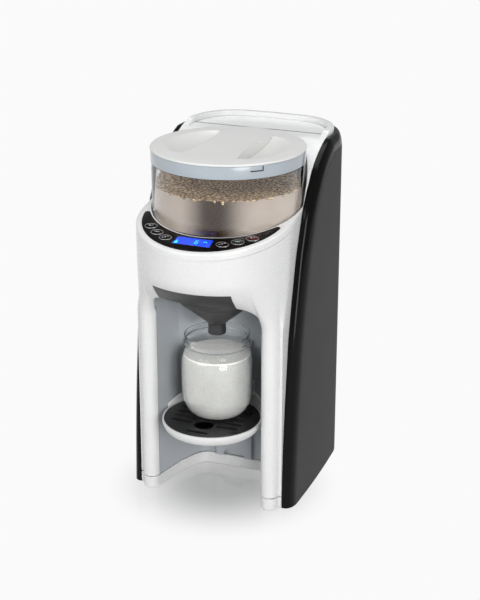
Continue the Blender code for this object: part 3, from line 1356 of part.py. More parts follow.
def build_water_works(socket_port_z):
    """Pump, heater and the three hoses from the tank to the nozzle."""
    floor = FLOOR_LIFT + WALL + GAP
    head_low = floor + PUMP_HEIGHT
    head_top = head_low + PUMP_HEAD_HEIGHT
    pump = cylinder("pump", PUMP_RADIUS, floor, head_low + GAP, (PUMP_X, PUMP_Y), "steel", MEDIUM_STEPS)
    fuse(pump, box("head", (PUMP_X - PUMP_HEAD_HALF, PUMP_Y - PUMP_HEAD_HALF, head_low),
                   (PUMP_X + PUMP_HEAD_HALF, PUMP_Y + PUMP_HEAD_HALF, head_top)))
    side_z = head_low + PUMP_HEAD_HEIGHT / 2
    side_end = PUMP_Y + PUMP_HEAD_HALF + PORT_LENGTH
    top_end = head_top + PORT_LENGTH
    fuse(pump, rod("inlet", (PUMP_X, PUMP_Y, side_z), (PUMP_X, side_end, side_z), PORT_RADIUS),
         rod("outlet", (PUMP_X, PUMP_Y, side_z), (PUMP_X, PUMP_Y, top_end), PORT_RADIUS))
    heater_top = floor + HEATER_HEIGHT
    heater = cylinder("heater", HEATER_RADIUS, floor, heater_top, (HEATER_X, HEATER_Y), "steel",
                      MEDIUM_STEPS)
    port_end = heater_top + PORT_LENGTH
    for side in (-1, 1):
        place = (HEATER_X + side * PORT_SPREAD, HEATER_Y)
        fuse(heater, cylinder("port", PORT_RADIUS, heater_top - GAP, port_end, place))
    start_z = socket_port_z - GAP
    end_y = side_end + GAP
    hose("tank_hose", [(0.0, OUTLET_Y, start_z), (0.0, OUTLET_Y, start_z - PORT_LENGTH),
                       (PUMP_X / 3, OUTLET_Y - PORT_LENGTH, start_z - HOSE_RISE),
                       (PUMP_X * 4 / 5, (OUTLET_Y + end_y) / 2, side_z),
                       (PUMP_X, end_y + PORT_LENGTH, side_z), (PUMP_X, end_y, side_z)])
    inlet_x = HEATER_X - PORT_SPREAD
    crown = port_end + HOSE_RISE
    hose("heater_hose", [(PUMP_X, PUMP_Y, top_end + GAP), (PUMP_X, PUMP_Y, top_end + HOSE_RISE),
                         (PUMP_X * 3 / 4, PUMP_Y, crown - PORT_LENGTH), (0.0, PUMP_Y, crown + PORT_LENGTH),
                         (inlet_x * 3 / 4, PUMP_Y, crown), (inlet_x, PUMP_Y, port_end + PORT_LENGTH),
                         (inlet_x, PUMP_Y, port_end + GAP)])
    outlet_x = HEATER_X + PORT_SPREAD
    barb_end = SPOUT_Y + NOZZLE_BARB + GAP
    turn_z = TUNNEL_ROOF_Z + LINER_WALL * 2
    hose("nozzle_hose", [(outlet_x, HEATER_Y, port_end + GAP), (outlet_x, HEATER_Y, port_end + HOSE_RISE),
                         (HOSE_BACK_X, HEATER_Y, (port_end + turn_z) / 2),
                         (HOSE_BACK_X, HEATER_Y - PORT_LENGTH, turn_z - HOSE_RISE),
                         (HOSE_BACK_X - PORT_LENGTH / 2, HEATER_Y / 2, turn_z),
                         (NOZZLE_X + PORT_LENGTH, barb_end + HEATER_Y - PORT_LENGTH, NOZZLE_BARB_Z + OVERRUN),
                         (NOZZLE_X + OVERRUN / 2, barb_end + HOSE_RISE, NOZZLE_BARB_Z + OVERRUN / 4),
                         (NOZZLE_X, barb_end + PORT_LENGTH, NOZZLE_BARB_Z),
                         (NOZZLE_X, barb_end, NOZZLE_BARB_Z)])


def build_power_board():
    """Upright board behind the bay, on standoffs, with its transformer."""
    wall_y = BAY_REAR_Y + LINER_WALL
    near = wall_y + STANDOFF
    far = near + BOARD_THICKNESS
    high = POWER_BOARD_LOW_Z + POWER_BOARD_HEIGHT
    board = box("power_board", (-POWER_BOARD_HALF, near, POWER_BOARD_LOW_Z), (POWER_BOARD_HALF, far, high),
                "board_green")
    middle = (POWER_BOARD_LOW_Z + high) / 2
    for side in (-1, 1):
        for level in (-1, 1):
            x = side * POWER_BOARD_HALF * STANDOFF_SHARE
            z = middle + level * POWER_BOARD_HEIGHT / 2 * STANDOFF_SHARE
            fuse(board, rod("standoff", (x, wall_y + GAP, z), (x, near + GAP, z), STANDOFF_RADIUS,
                            steps=SMALL_STEPS // 2))
    wide, deep, tall = TRANSFORMER_SIZE
    fuse(board, box("transformer", (-wide / 2, far - GAP, middle - tall / 2),
                    (wide / 2, far + deep, middle + tall / 2)))


def build_rear_fittings():
    """Power inlet and rocker switch in the rear wall."""
    rear = CORNER_Y + CORNER_RADIUS + REAR_CROWN
    face = rear + FITTING_PROUD
    made = {}
    for name, (x, size) in zip(("inlet_socket", "switch_frame"), rear_fittings()):
        body = rear_box(name, x, size, 0.0, rear - FITTING_DEPTH, face - GAP, "panel_black")
        fuse(body, rear_box("flange", x, size, FITTING_FLANGE, rear + GAP, face))
        made[name] = body
    cavity = rear_box("cavity", INLET_X, INLET_SIZE, -OVERRUN, face - INLET_CAVITY, face + OVERRUN)
    inlet = cut(made["inlet_socket"], cavity)
    wide, deep, tall = CONTACT_SIZE
    for side in (-1, 1):
        x = INLET_X + side * CONTACT_SPREAD
        low = (x - wide / 2, face - INLET_CAVITY - GAP, REAR_FITTING_Z - tall / 2)
        high = (x + wide / 2, face - INLET_CAVITY + deep, REAR_FITTING_Z + tall / 2)
        fuse(inlet, box("contact", low, high))
    frame = made["switch_frame"]
    room_near = face - ROCKER_SINK * 3
    cut(frame, rear_box("rocker_room", SWITCH_X, SWITCH_SIZE, -FITTING_WALL, room_near, face + OVERRUN))
    pivot = Vector((SWITCH_X, face - ROCKER_SINK, REAR_FITTING_Z))
    half = SWITCH_SIZE[1] / 2 - FITTING_WALL - RUN_GAP
    lift = sin(radians(ROCKER_TILT)) * half
    side = [(-ROCKER_THICKNESS, -half + lift), (-ROCKER_THICKNESS, half - lift), (0.0, half),
            (ROCKER_THICKNESS / 3, 0.0), (0.0, -half)]
    wide = SWITCH_SIZE[0] / 2 - FITTING_WALL - RUN_GAP
    rings = [[(pivot.x + x, pivot.y + out, pivot.z + up) for out, up in side] for x in (-wide, wide)]
    rocker = loft("power_rocker", rings, "panel_black")
    set_pivot(rocker, pivot)
    rocker.data.transform(Matrix.Rotation(radians(ROCKER_TILT), 4, "X"))


def build_tray():
    """Drip tray dish, slotted grid and the carrier with its clips on the rail."""
    center = (0.0, TRAY_Y)
    outside = [(0.0, TRAY_OUTSIDE[0][1])] + list(TRAY_OUTSIDE)
    inside = list(TRAY_INSIDE) + [(0.0, TRAY_INSIDE[-1][1])]
    turned("drip_tray", outside + inside, center, "white_gloss")
    low = GRID_TOP_Z - GRID_THICKNESS
    grid = cylinder("tray_grid", GRID_RADIUS, low, GRID_TOP_Z, center, "tray_black", ROUND_STEPS)
    slots = [(0.0, FRONT_SLOT)]
    slots += [(side * SLOT_X, SLOT_FIRST + SLOT_PITCH * k) for side in (-1, 1) for k in range(SLOT_COUNT)]
    for x, y in slots:
        cut(grid, box("slot", (x - SLOT_LENGTH / 2, TRAY_Y + y - SLOT_WIDTH / 2, low - OVERRUN),
                      (x + SLOT_LENGTH / 2, TRAY_Y + y + SLOT_WIDTH / 2, GRID_TOP_Z + OVERRUN)))
    cut(grid, cylinder("finger_hole", FINGER_HOLE_RADIUS, low - OVERRUN, GRID_TOP_Z + OVERRUN,
                       (0.0, TRAY_Y + FINGER_HOLE)))
    build_tray_carrier()


def build_tray_carrier():
    """Collar behind the dish that rises to the rear, with a plate clipped on the rail."""
    rows = []
    sweep = 180 - 2 * CARRIER_START
    for k in range(CARRIER_STEPS + 1):
        angle = radians(CARRIER_START + sweep * k / CARRIER_STEPS)
        top = CARRIER_TOP_Z + CARRIER_RISE * max(sin(angle), 0.0)
        profile = [(CARRIER_PROFILE[0][0], top)] + list(CARRIER_PROFILE) + [(CARRIER_PROFILE[-1][0], top)]
        rows.append([(r * cos(angle), TRAY_Y + r * sin(angle), z) for r, z in profile])
    carrier = turned_rows("tray_carrier", rows, False, "white_gloss")
    rail_front = BAY_REAR_Y - RAIL_DEPTH
    plate_near = TRAY_Y + CARRIER_PROFILE[-1][0] - GAP
    half = RAIL_HALF + GAP + CARRIER_CLIP
    fuse(carrier, box("plate", (-half, plate_near, CARRIER_PLATE_LOW),
                      (half, rail_front - GAP, CARRIER_PLATE_TOP)))
    groove_rear = BAY_REAR_Y - RAIL_BACK
    for side in (-1, 1):
        clip_x = sorted((side * (RAIL_HALF + GAP), side * half))
        toe_x = sorted((side * (RAIL_HALF - CARRIER_TOE), side * half))
        toe_near = groove_rear - RAIL_GROOVE + GAP
        fuse(carrier, box("clip", (clip_x[0], rail_front - 2 * GAP, CARRIER_PLATE_LOW),
                          (clip_x[1], groove_rear - GAP, CARRIER_PLATE_TOP)),
             box("toe", (toe_x[0], toe_near, CARRIER_PLATE_LOW),
                 (toe_x[1], groove_rear - GAP, CARRIER_PLATE_TOP)))


def build_bottle():
    """Wide-neck bottle and the milk in it."""
    center = (0.0, SPOUT_Y)
    base = BOTTLE_PROFILE[0][1]
    plain = BOTTLE_PROFILE[:BOTTLE_NECK_POINTS] + BOTTLE_PROFILE[-1:]
    inner = [(r - BOTTLE_WALL, max(z, base + BOTTLE_WALL)) for r, z in plain]
    outside = [(0.0, base)] + list(BOTTLE_PROFILE)
    inside = list(reversed(inner)) + [(0.0, base + BOTTLE_WALL)]
    turned("bottle", outside + inside, center, "clear_plastic", BOTTLE_STEPS)
    body = [(r - GAP, z + GAP) for r, z in inner if z < MILK_TOP_Z]
    low, high = [(a, b) for a, b in zip(inner, inner[1:]) if a[1] < MILK_TOP_Z <= b[1]][0]
    share = (MILK_TOP_Z - low[1]) / (high[1] - low[1])
    top_r = low[0] + (high[0] - low[0]) * share - GAP
    profile = [(0.0, body[0][1])] + body + [(top_r, MILK_TOP_Z), (0.0, MILK_TOP_Z)]
    turned("milk", profile, center, "milk_white", BOTTLE_STEPS)


def main():
    """Build every piece."""
    clear_scene()
    build_wrap_shell()
    build_front_shell()
    build_bay_liner()
    build_base_plate()
    build_base_fittings()
    build_deck_cover()
    build_control_panel()
    build_container_seat()
    build_container()
    build_container_lid()
    build_drive()
    build_funnel()
    build_nozzle()
    build_top_cover()
    build_water_works(build_tank())
    build_power_board()
    build_rear_fittings()
    build_tray()
    build_bottle()


main()
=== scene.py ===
"""Looks of the baby formula maker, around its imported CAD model.

Metres, +Z up, in the CAD model's frame. The front faces -Y.
"""
import json
from math import asin, cos, pi, radians, sin, sqrt

import bmesh
import bpy
import numpy as np
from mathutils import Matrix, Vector


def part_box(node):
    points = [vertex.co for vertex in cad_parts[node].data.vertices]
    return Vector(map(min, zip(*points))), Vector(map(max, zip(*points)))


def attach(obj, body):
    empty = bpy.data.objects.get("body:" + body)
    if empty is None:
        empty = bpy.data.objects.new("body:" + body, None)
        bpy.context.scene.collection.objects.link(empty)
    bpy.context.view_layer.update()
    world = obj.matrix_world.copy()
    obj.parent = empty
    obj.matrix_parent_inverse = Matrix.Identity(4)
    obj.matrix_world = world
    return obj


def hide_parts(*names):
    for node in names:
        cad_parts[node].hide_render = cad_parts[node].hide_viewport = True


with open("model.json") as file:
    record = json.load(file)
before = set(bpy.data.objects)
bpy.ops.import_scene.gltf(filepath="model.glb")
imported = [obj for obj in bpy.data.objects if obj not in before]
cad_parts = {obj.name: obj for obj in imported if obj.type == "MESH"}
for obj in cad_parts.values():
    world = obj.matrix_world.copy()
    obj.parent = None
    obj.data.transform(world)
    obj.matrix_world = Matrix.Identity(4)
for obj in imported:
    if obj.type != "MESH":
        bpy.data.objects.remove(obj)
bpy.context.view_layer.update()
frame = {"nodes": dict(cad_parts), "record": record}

# Camera
CAMERA_PLACE = (0.51993, -1.27014, 0.70532)
CAMERA_DOWN = 20.5632
CAMERA_TURN = 22.0287
CAMERA_LENS = 86.30
SENSOR = 36.0

# Clearances and steps
GAP = 0.0003
OVERRUN = 0.004
WALL = 0.0025
FLOOR_LIFT = 0.0008
FINE_STEPS = 160
SMALL_STEPS = 48
SMOOTH_ANGLE = radians(35)

# Levels and axes
SPOUT_Y = -0.046
CONTAINER_Y = -0.0154
BODY_TOP = 0.355
SEAM_Z = 0.0132
SEAM_HALF = 0.0006
BASE_ROUND = 0.0004

# Dark wrap shell
SIDE_HALF = 0.089
SIDE_WIDEST_Y = -0.027
SIDE_TAPER = 0.003
CORNER_X = 0.031
CORNER_Y = 0.068
CORNER_RADIUS = 0.055
REAR_CROWN = 0.001
CORNER_STEPS = 18
WRAP_WALL = 0.003
NOSE_LENGTH = 0.016
NOSE_STEPS = 14
SIDE_STEPS = 9
REAR_STEPS = 5
REAR_BEVEL = 0.0015
FLANK_FRONT_Y = -0.066
FLANK_SWEEP = 0.1147
FLANK_SHARES = (
    (0.0, 0.0), (0.16, 0.024), (0.30, 0.0575), (0.40, 0.0924), (0.504, 0.131), (0.606, 0.198),
    (0.718, 0.286), (0.775, 0.353), (0.831, 0.422), (0.882, 0.517), (0.906, 0.579),
    (0.930, 0.639), (0.952, 0.714), (0.969, 0.789), (0.983, 0.867), (0.9945, 0.95), (1.0, 1.0),
)
FLANK_SPAN_STEPS = 5
BAND_WIDTH = 0.0125

# White front shell
BODY_HALF = 0.0773
HEAD_Y = -0.0475
HEAD_DEPTH = 0.0765
HEAD_LOW_DEPTH = 0.0750
POST_X = 0.065
POST_Y = -0.0666
POST_RADIUS = 0.009
SWEEP_LOW_Z = 0.193
SWEEP_HEIGHT = 0.057
SWEEP_POWER_SHARE = 1.3
FLANK_TUCK = 0.008
SHELL_WALL = 0.0024
ARCH_STEPS = 14
POST_STEPS = 14
SHOULDER_STEPS = 8
HEAD_COLUMNS = 10
SIDE_COLUMNS = 4
POST_LEVELS = 8
SWEEP_LEVELS = 4
COVER_LEVELS = 10
CHIN_LEVELS = 6
HEAD_LEVELS = 8
HEAD_TUCK = 0.04
HEAD_STEPS = 40

# Sloping deck and control panel
DECK_SLOPE = 0.2
DECK_NORMAL = Vector((0.0, -DECK_SLOPE, 1.0)).normalized()
DECK_Y = -0.1
DECK_Z = 0.2842
DECK_PLATE = 0.0026
DECK_SKIRT = 0.007
LIP_ROUND = 0.0018
LIP_STEPS = 6
DECK_REAR_Y = 0.062
PANEL_OUTER_RADIUS = 0.0715
PANEL_INNER_RADIUS = 0.0772
PANEL_END_ROUND = 0.003
PANEL_STEPS = 48
PANEL_END_STEPS = 10
BEZEL_THICKNESS = 0.003
BEZEL_PROUD = 0.0004
BEZEL_ROUND = 0.0003
BUTTON_PLACES = ((0.0291, -0.1007), (0.0413, -0.0931), (0.0522, -0.0832))
BUTTON_LONG = 0.0057
BUTTON_SHORT = 0.0039
BUTTON_PROUD = 0.0012
BUTTON_DEPTH = 0.0040
DOME_RISE = 0.0006
DOME_SHARES = (0.2, 0.25)
DOME_STEPS = 8
RING_WIDTH = 0.0009
RING_PROUD = 0.0008
RING_DEPTH = 0.0022
RING_STEPS = 6
LCD_TOP_HALF = 0.0179
LCD_BOTTOM_HALF = 0.0191
LCD_TOP_Y = -0.0954
LCD_BOTTOM_Y = -0.1089
LCD_THICKNESS = 0.0022
MARK_RISE = 0.00006
BUTTON_MARKS = (
    ((-0.0021, -0.0014), (0.0, 0.0), (0.0021, 0.0014)), ((-0.0018, 0.0), (0.0, 0.0), (0.0018, 0.0)),
    ((-0.002, 0.0006), (-0.0004, -0.0006), (0.0016, 0.0006)),
)
INLAY_INSET = 0.0016
INLAY_WIDTH = 0.0005
MARK_HALF_X = 0.0008
MARK_HALF_YS = (0.00035, 0.0006, 0.00035)
DIGIT_PLACE = (0.0036, -0.1023)
DIGIT_HALF = (0.0016, 0.0031)
DIGIT_BAR = 0.00065
BOTTLE_SIGN_PLACE = (-0.0160, -0.1050)
BOTTLE_SIGN = ((0.0016, -0.0026), (0.0016, 0.0006), (0.0006, 0.0016), (0.0006, 0.0030))
UNIT_SIGN_PLACES = ((0.0108, -0.1003), (0.0128, -0.1003))
UNIT_SIGN_HALF = (0.0007, 0.0009)

# Bottle bay
BAY_HALF = 0.0561
BAY_FRONT_Y = -0.0662
BAY_MID_HALF = 0.049
BAY_MID_Y = -0.030
BAY_REAR_HALF = 0.030
BAY_REAR_Y = 0.0013
BAY_CORNER_SHARES = ((0.89, 0.15), (0.66, 0.53), (0.37, 0.84), (0.0, 1.0))
BAY_CEILING_Z = 0.220
BAY_ARCH_RADIUS = 0.020
LINER_WALL = 0.002
RAIL_HALF = 0.020
RAIL_DEPTH = 0.0042
RAIL_GROOVE = 0.002
RAIL_BACK = 0.0012
RAIL_TOP_Z = 0.150
RAIL_RECESS_HALF = 0.012
RAIL_RECESS_TOP_Z = 0.0205
RAIL_RECESS_DEPTH = 0.0056
RAIL_RECESS_ROUND = 0.005
CEILING_STEPS = 20
CHUTE_HOLE = 0.0089
NOZZLE_HOLE = 0.0033
NOZZLE_X = 0.022

# Funnel drawer
SPOUT_RADIUS = 0.009
SPOUT_TIP_Z = 0.1722
CONE_LOW_Z = 0.1835
CONE_TOP_Z = 0.2078
FUNNEL_RADIUS = 0.038
FUNNEL_WALL = 0.0018
FLANGE_HALF = 0.040
FLANGE_THICKNESS = 0.002
COVER_HALF = 0.0402
COVER_TOP_Z = 0.2371
COVER_THICKNESS = 0.0025
COVER_COLUMNS = 40
COVER_ROWS = 16
FLANGE_STEPS = 12
TUNNEL_HALF = 0.041
TUNNEL_ROOF_Z = 0.2385
RUN_GAP = 0.0006

# Powder container
SEAT_Z = 0.2800
SEAT_THICKNESS = 0.003
SPINDLE_RADIUS = 0.0050
CHUTE_BORE = 0.0072
WELL_RADIUS = 0.0759
CONTAINER_RADIUS = 0.0751
CONTAINER_WALL = 0.0021
CONTAINER_FLOOR = 0.0025
CONTAINER_ROUND = 0.002
COLLAR_Z = 0.3422
COLLAR_TOP_Z = 0.3546
COLLAR_RADIUS = 0.0757
COLLAR_WALL = 0.0022
COLLAR_SKIRT = 0.0012
COLLAR_ROUND = 0.0005
MARK_TOP_GAP = 0.0006
MARK_SUNK = 0.0002
MARK_ANGLE = -42.8
MARK_TURN = 9
MARK_WIDTH = 0.0012
MARK_DROP = 0.0055
LID_RADIUS = 0.0763
LID_EDGE = 0.0018
LID_STEP = 0.0004
LID_DOME = 0.0012
LID_PLUG_RADIUS = 0.0690
LID_PLUG_DEPTH = 0.0085
SCOOP_INNER_X = 0.028
SCOOP_OUTER_X = 0.062
SCOOP_HALF_Y = 0.048
SCOOP_DEPTH = 0.0100
SCOOP_DRAFT = -0.0022
SCOOP_BULGE = 0.0050
SCOOP_LIFT = 0.00012
SCOOP_STEPS = 40
SCOOP_FLOOR_STEPS = 10
POCKET_RADIUS = 0.0771
WELL_BELOW = 0.02
POWDER_TOP_Z = 0.3215
POWDER_DISH = 0.004
POWDER_RAGGED = 0.012
POWDER_CAVITY_RADIUS = 0.0690
CAVITY_HEIGHT = 0.0135

# Top cover
RIM_TOP_Z = 0.360
RIM_WIDTH = 0.0066
RIM_ROUND = 0.0016
RIM_STEPS = 4
RIM_SHARES = (0.1, 0.15)
RECESS_Z = 0.3545
TOP_COVER_Z = 0.296
TANK_LID_FRONT_Y = 0.0665
TANK_OPENING_GAP = 0.0002

# Rear fittings
INLET_X = -0.016
SWITCH_X = 0.018
REAR_FITTING_Z = 0.040
INLET_SIZE = (0.026, 0.018)
SWITCH_SIZE = (0.015, 0.021)

# Feet and screws
FEET = ("foot_front_left", "foot_front_right", "foot_rear_left", "foot_rear_right")
SCREWS = ("screw_post_left", "screw_post_right", "screw_leg_left", "screw_leg_right")
HOLE_STEPS = 24

# Floor's reflection round the machine
REFLECTION_MIDDLE = (0.0, -0.035, 0.0)
REFLECTION_NEAR = 0.02
REFLECTION_FAR = 0.125

# Drip tray
TRAY_Y = -0.0598
GRID_RADIUS = 0.0485
GRID_TOP_Z = 0.0859
GRID_THICKNESS = 0.002
SLOT_LENGTH = 0.0235
SLOT_WIDTH = 0.0042
SLOT_PITCH = 0.0103
SLOT_COUNT = 5
SLOT_FIRST = -0.0195
SLOT_X = 0.0243
FRONT_SLOT = -0.039
FINGER_HOLE = -0.0208
FINGER_HOLE_RADIUS = 0.0102
TRAY_OUTSIDE = ((0.0425, 0.0742), (0.0462, 0.0757), (0.0487, 0.0787), (0.0502, 0.0830), (0.0502, 0.0859))
TRAY_INSIDE = ((0.0488, 0.0859), (0.0488, 0.0836), (0.0468, 0.0836), (0.0455, 0.081), (0.037, 0.0762))
CARRIER_PROFILE = ((0.0512, 0.0848), (0.0508, 0.0811), (0.0500, 0.0788), (0.0495, 0.0770), (0.0513, 0.0770),
                   (0.0524, 0.0795), (0.0534, 0.0845))
CARRIER_TOP_Z = 0.0866
CARRIER_RISE = 0.0145
CARRIER_START = 8
CARRIER_STEPS = 72
CARRIER_ROUND = 0.0007
CARRIER_PLATE_TOP = 0.106
CARRIER_PLATE_LOW = 0.0795
CARRIER_CLIP = 0.0024
CARRIER_TOE = 0.0016

# Bottle
BOTTLE_WALL = 0.0007
BOTTLE_BODY = (
    (0.0195, 0.0862), (0.0280, 0.0893), (0.0340, 0.0990), (0.0361, 0.1140), (0.0364, 0.1400),
    (0.0350, 0.1490), (0.0320, 0.1545), (0.0312, 0.1600),
)
BOTTLE_NECK = ((0.0336, 0.1618), (0.0336, 0.1642), (0.0322, 0.1656), (0.0327, 0.1716))
NECK_ROUND = 0.0009
MILK_TOP_Z = 0.1515
# Painted light: depth of the paler band at the milk's top.
LIT_TOP_DEPTH = 0.0016

# Rounded edges: width, angle limit and segments
EDGES = {
    "wrap_shell": (0.0004, 50, 3), "front_shell": (0.0007, 45, 3), "bay_liner": (0.0004, 40, 2),
    "deck_cover": (0.0004, 50, 2), "lcd_window": (0.0001, 40, 2), "container_lid": (0.0003, 30, 2),
    "top_cover": (0.0009, 30, 3), "funnel_cover": (0.0006, 40, 3), "tray_grid": (0.0003, 50, 2),
    "tray_carrier": (0.0005, 50, 2),
}
KEPT_EDGE = (0.0003, 40, 2)

# Plastics and metals: colour, roughness, grain, skin depth, spread of colour and further sockets
PLASTICS = {
    "white_gloss": ((0.80, 0.80, 0.79), 0.28, 900.0, 0.000006, 0.012,
                    {"Coat Weight": 0.25, "Coat Roughness": 0.12}),
    "lid_white": ((0.74, 0.735, 0.715), 0.34, 1100.0, 0.00001, 0.015,
                  {"Coat Weight": 0.15, "Coat Roughness": 0.2}),
    # Painted shade: the inner white plastic given a darker blue-grey for the shade inside the bay.
    "white_inner": ((0.45, 0.475, 0.50), 0.36, 1200.0, 0.00001, 0.02, {}),
    "funnel_grey": ((0.024, 0.024, 0.0245), 0.42, 1500.0, 0.00001, 0.05, {}),
    "tray_black": ((0.011, 0.011, 0.0115), 0.42, 1500.0, 0.00001, 0.08, {}),
    "collar_grey": ((0.43, 0.48, 0.52), 0.2, 700.0, 0.000006, 0.02,
                    {"Coat Weight": 0.3, "Coat Roughness": 0.08}),
    "gear_plastic": ((0.74, 0.72, 0.64), 0.45, 1400.0, 0.00002, 0.04, {}),
    "mark_black": ((0.012, 0.012, 0.013), 0.4, 1400.0, 0.00002, 0.04, {}),
    "black_rubber": ((0.022, 0.022, 0.022), 0.75, 900.0, 0.00006, 0.1, {}),
    "hose_grey": ((0.62, 0.62, 0.61), 0.4, 600.0, 0.00002, 0.03, {}),
    "board_green": ((0.02, 0.16, 0.06), 0.45, 500.0, 0.00003, 0.15, {}),
    "steel": ((0.5, 0.5, 0.52), 0.36, 700.0, 0.00001, 0.03, {"Metallic": 1.0}),
    "bright_metal": ((0.42, 0.42, 0.43), 0.34, 700.0, 0.000004, 0.02, {"Metallic": 1.0}),
    "panel_black": ((0.005, 0.0035, 0.003), 0.09, 500.0, 0.000002, 0.1, {"Specular IOR Level": 0.10}),
}

# Patterned finishes: colours, pairs of them to mix, and the edges across of the powder's painted shade band
BAND_BLACK = (0.0030, 0.0029, 0.0028)
WRAP_GREYS = ((0.038, 0.0375, 0.037), (0.044, 0.0434, 0.043))
# Painted shade: black for the white dish's inside, seen dark through the finger hole.
DISH_PAINTED_SHADE = (0.006, 0.006, 0.0065)
POWDER_PALES = ((0.33, 0.275, 0.235), (0.39, 0.33, 0.285))
POWDER_SPECKS = ((0.11, 0.046, 0.008), (0.66, 0.50, 0.32))
# Painted shade: dark brown for the band down the powder's middle, where the drum shows no bright reflection.
SHADE_BAND_BROWN = (0.022, 0.010, 0.004)
SHADE_BAND_RISE = (-0.022, 0.010)
SHADE_BAND_FALL = (0.018, 0.054)
MILK_WHITES = ((0.36, 0.36, 0.345), (0.39, 0.39, 0.372))
# Painted light: paler whites for the milk's top surface.
LIT_TOP_WHITES = ((0.66, 0.65, 0.62), (0.76, 0.75, 0.72))
LCD_GLOWS = ((0.014, 0.085, 0.95), (0.002, 0.065, 0.98))
LCD_BLUES = ((0.0, 0.01, 0.12), (0.0, 0.015, 0.16))
PRINT_WHITE = (0.55, 0.55, 0.56)
SIGN_CYAN = (0.03, 0.62, 0.95)
ACCENTS = {
    "button_right_2": ("ring_green", (0.05, 0.16, 0.02), 0.3),
    "button_right_3": ("ring_red", (0.42, 0.01, 0.02), 0.4),
}

# Stage: greys, and each lamp's place, size and power
FLOOR_HALF = 4.0
FLOOR_GREY = (0.29, 0.29, 0.29, 1.0)
BACKDROP = (0.955, 0.955, 0.955, 1.0)
FAR_BACKDROP = (0.95, 0.95, 0.95, 1.0)
ROOM_LIGHT = (0.36, 0.37, 0.38, 1.0)
LAMP_TARGET = (0.0, 0.0, 0.2)
LAMPS = {
    "key": ((-0.9, -1.8, 1.2), (1.2, 1.2), 17.6),
    "fill": ((1.3, -1.5, 0.6), (0.8, 1.2), 23.0),
    "top": ((0.0, 0.3, 2.0), (1.6, 1.2), 15.0),
}

NODE_BODY = {node: body for body, group in frame["record"]["behaviour"]["bodies"].items() for node in group}
MATERIALS = {}


def spread(first, last, count):
    """Evenly spaced numbers from the first to the last."""
    return [first + (last - first) * k / count for k in range(count + 1)]


def quarter(steps):
    """Steps over a rounded edge: the shares of its radius that it is drawn in, and still below its top."""
    return [(1.0 - cos(angle), 1.0 - sin(angle)) for angle in spread(0.0, pi / 2, steps)]


def from_bmesh(name, work):
    """Turn a bmesh into an object whose faces point out, smooth up to an angle."""
    bmesh.ops.remove_doubles(work, verts=work.verts, dist=GAP / 1000)
    bmesh.ops.dissolve_degenerate(work, edges=work.edges, dist=GAP / 1000)
    bmesh.ops.recalc_face_normals(work, faces=work.faces)
    mesh = bpy.data.meshes.new(name)
    work.to_mesh(mesh)
    work.free()
    item = bpy.data.objects.new(name, mesh)
    bpy.context.scene.collection.objects.link(item)
    mesh.shade_smooth()
    mesh.set_sharp_from_angle(angle=SMOOTH_ANGLE)
    return item


def bridged(work, rows, closed):
    """Faces between neighbouring rows of vertices."""
    count = len(rows[0])
    for low, high in zip(rows, rows[1:]):
        for k in range(count if closed else count - 1):
            n = (k + 1) % count
            work.faces.new((low[k], low[n], high[n], high[k]))


def loft(name, rings):
    """A closed solid through rings of equally many points, capped at both ends."""
    work = bmesh.new()
    rows = [[work.verts.new(point) for point in ring] for ring in rings]
    bridged(work, rows, True)
    work.faces.new(list(reversed(rows[0])))
    work.faces.new(rows[-1])
    return from_bmesh(name, work)


def at_height(outline, z):
    """A flat outline's points at a height."""
    return [(x, y, z) for x, y in outline]


def prism(name, outline, low, high):
    """A flat outline pulled up from one height to another."""
    return loft(name, [at_height(outline, low), at_height(outline, high)])


def turned_rows(name, rows, whole):
    """Close a solid over profiles that stand around an axis."""
    work = bmesh.new()
    made = [[work.verts.new(point) for point in row] for row in rows]
    bridged(work, made + made[:1] if whole else made, True)
    if not whole:
        work.faces.new(made[0])
        work.faces.new(list(reversed(made[-1])))
    return from_bmesh(name, work)


def turned(name, profile, center):
    """A closed profile of (radius, height) turned round a vertical axis at center."""
    rows = []
    for angle in spread(0.0, 2 * pi, FINE_STEPS)[:-1]:
        rows.append([(center[0] + r * cos(angle), center[1] + r * sin(angle), z) for r, z in profile])
    return turned_rows(name, rows, True)


def softened(profile, size, steps=4):
    """A closed profile with its corners rounded by a size, or by a size for each corner."""
    points = [Vector(point) for point in profile]
    sizes = size if isinstance(size, (list, tuple)) else [size] * len(points)
    made = []
    for k, (corner, reach) in enumerate(zip(points, sizes)):
        before = points[k - 1] - corner
        after = points[(k + 1) % len(points)] - corner
        cut_back = min(reach, before.length * 0.45, after.length * 0.45)
        if cut_back <= 0:
            made.append(tuple(corner))
            continue
        first = corner + before.normalized() * cut_back
        last = corner + after.normalized() * cut_back
        for step in range(steps + 1):
            t = step / steps
            made.append(tuple(first * (1 - t) ** 2 + corner * (2 * t * (1 - t)) + last * t * t))
    return made


def flowing(points, steps):
    """A smooth open curve through points."""
    ends = [Vector(points[0]) * 2 - Vector(points[1])]
    route = ends + [Vector(point) for point in points] + [Vector(points[-1]) * 2 - Vector(points[-2])]
    made = []
    for a, b, c, d in zip(route, route[1:], route[2:], route[3:]):
        for k in range(steps):
            t = k / steps
            place = (b * 2 + (c - a) * t + (a * 2 - b * 5 + c * 4 - d) * t ** 2
                     + (b * 3 - a - c * 3 + d) * t ** 3) / 2
            made.append(tuple(place))
    return made + [tuple(points[-1])]


def oval(center, long_half, short_half, steps=SMALL_STEPS):
    """An oval outline."""
    turn = 2 * pi / steps
    return [(center[0] + long_half * cos(turn * k), center[1] + short_half * sin(turn * k))
            for k in range(steps)]


def cylinder(name, radius, low, high, center, steps=SMALL_STEPS):
    """An upright cylinder."""
    return prism(name, oval(center, radius, radius, steps), low, high)


def box(name, low, high):
    """A box between two corners."""
    outline = [(low[0], low[1]), (high[0], low[1]), (high[0], high[1]), (low[0], high[1])]
    return prism(name, outline, low[2], high[2])


def side_box(name, side, near, far):
    """A box on one side, between two corners as they are on the right."""
    low, high = sorted((side * near[0], side * far[0]))
    return box(name, (low, *near[1:]), (high, *far[1:]))


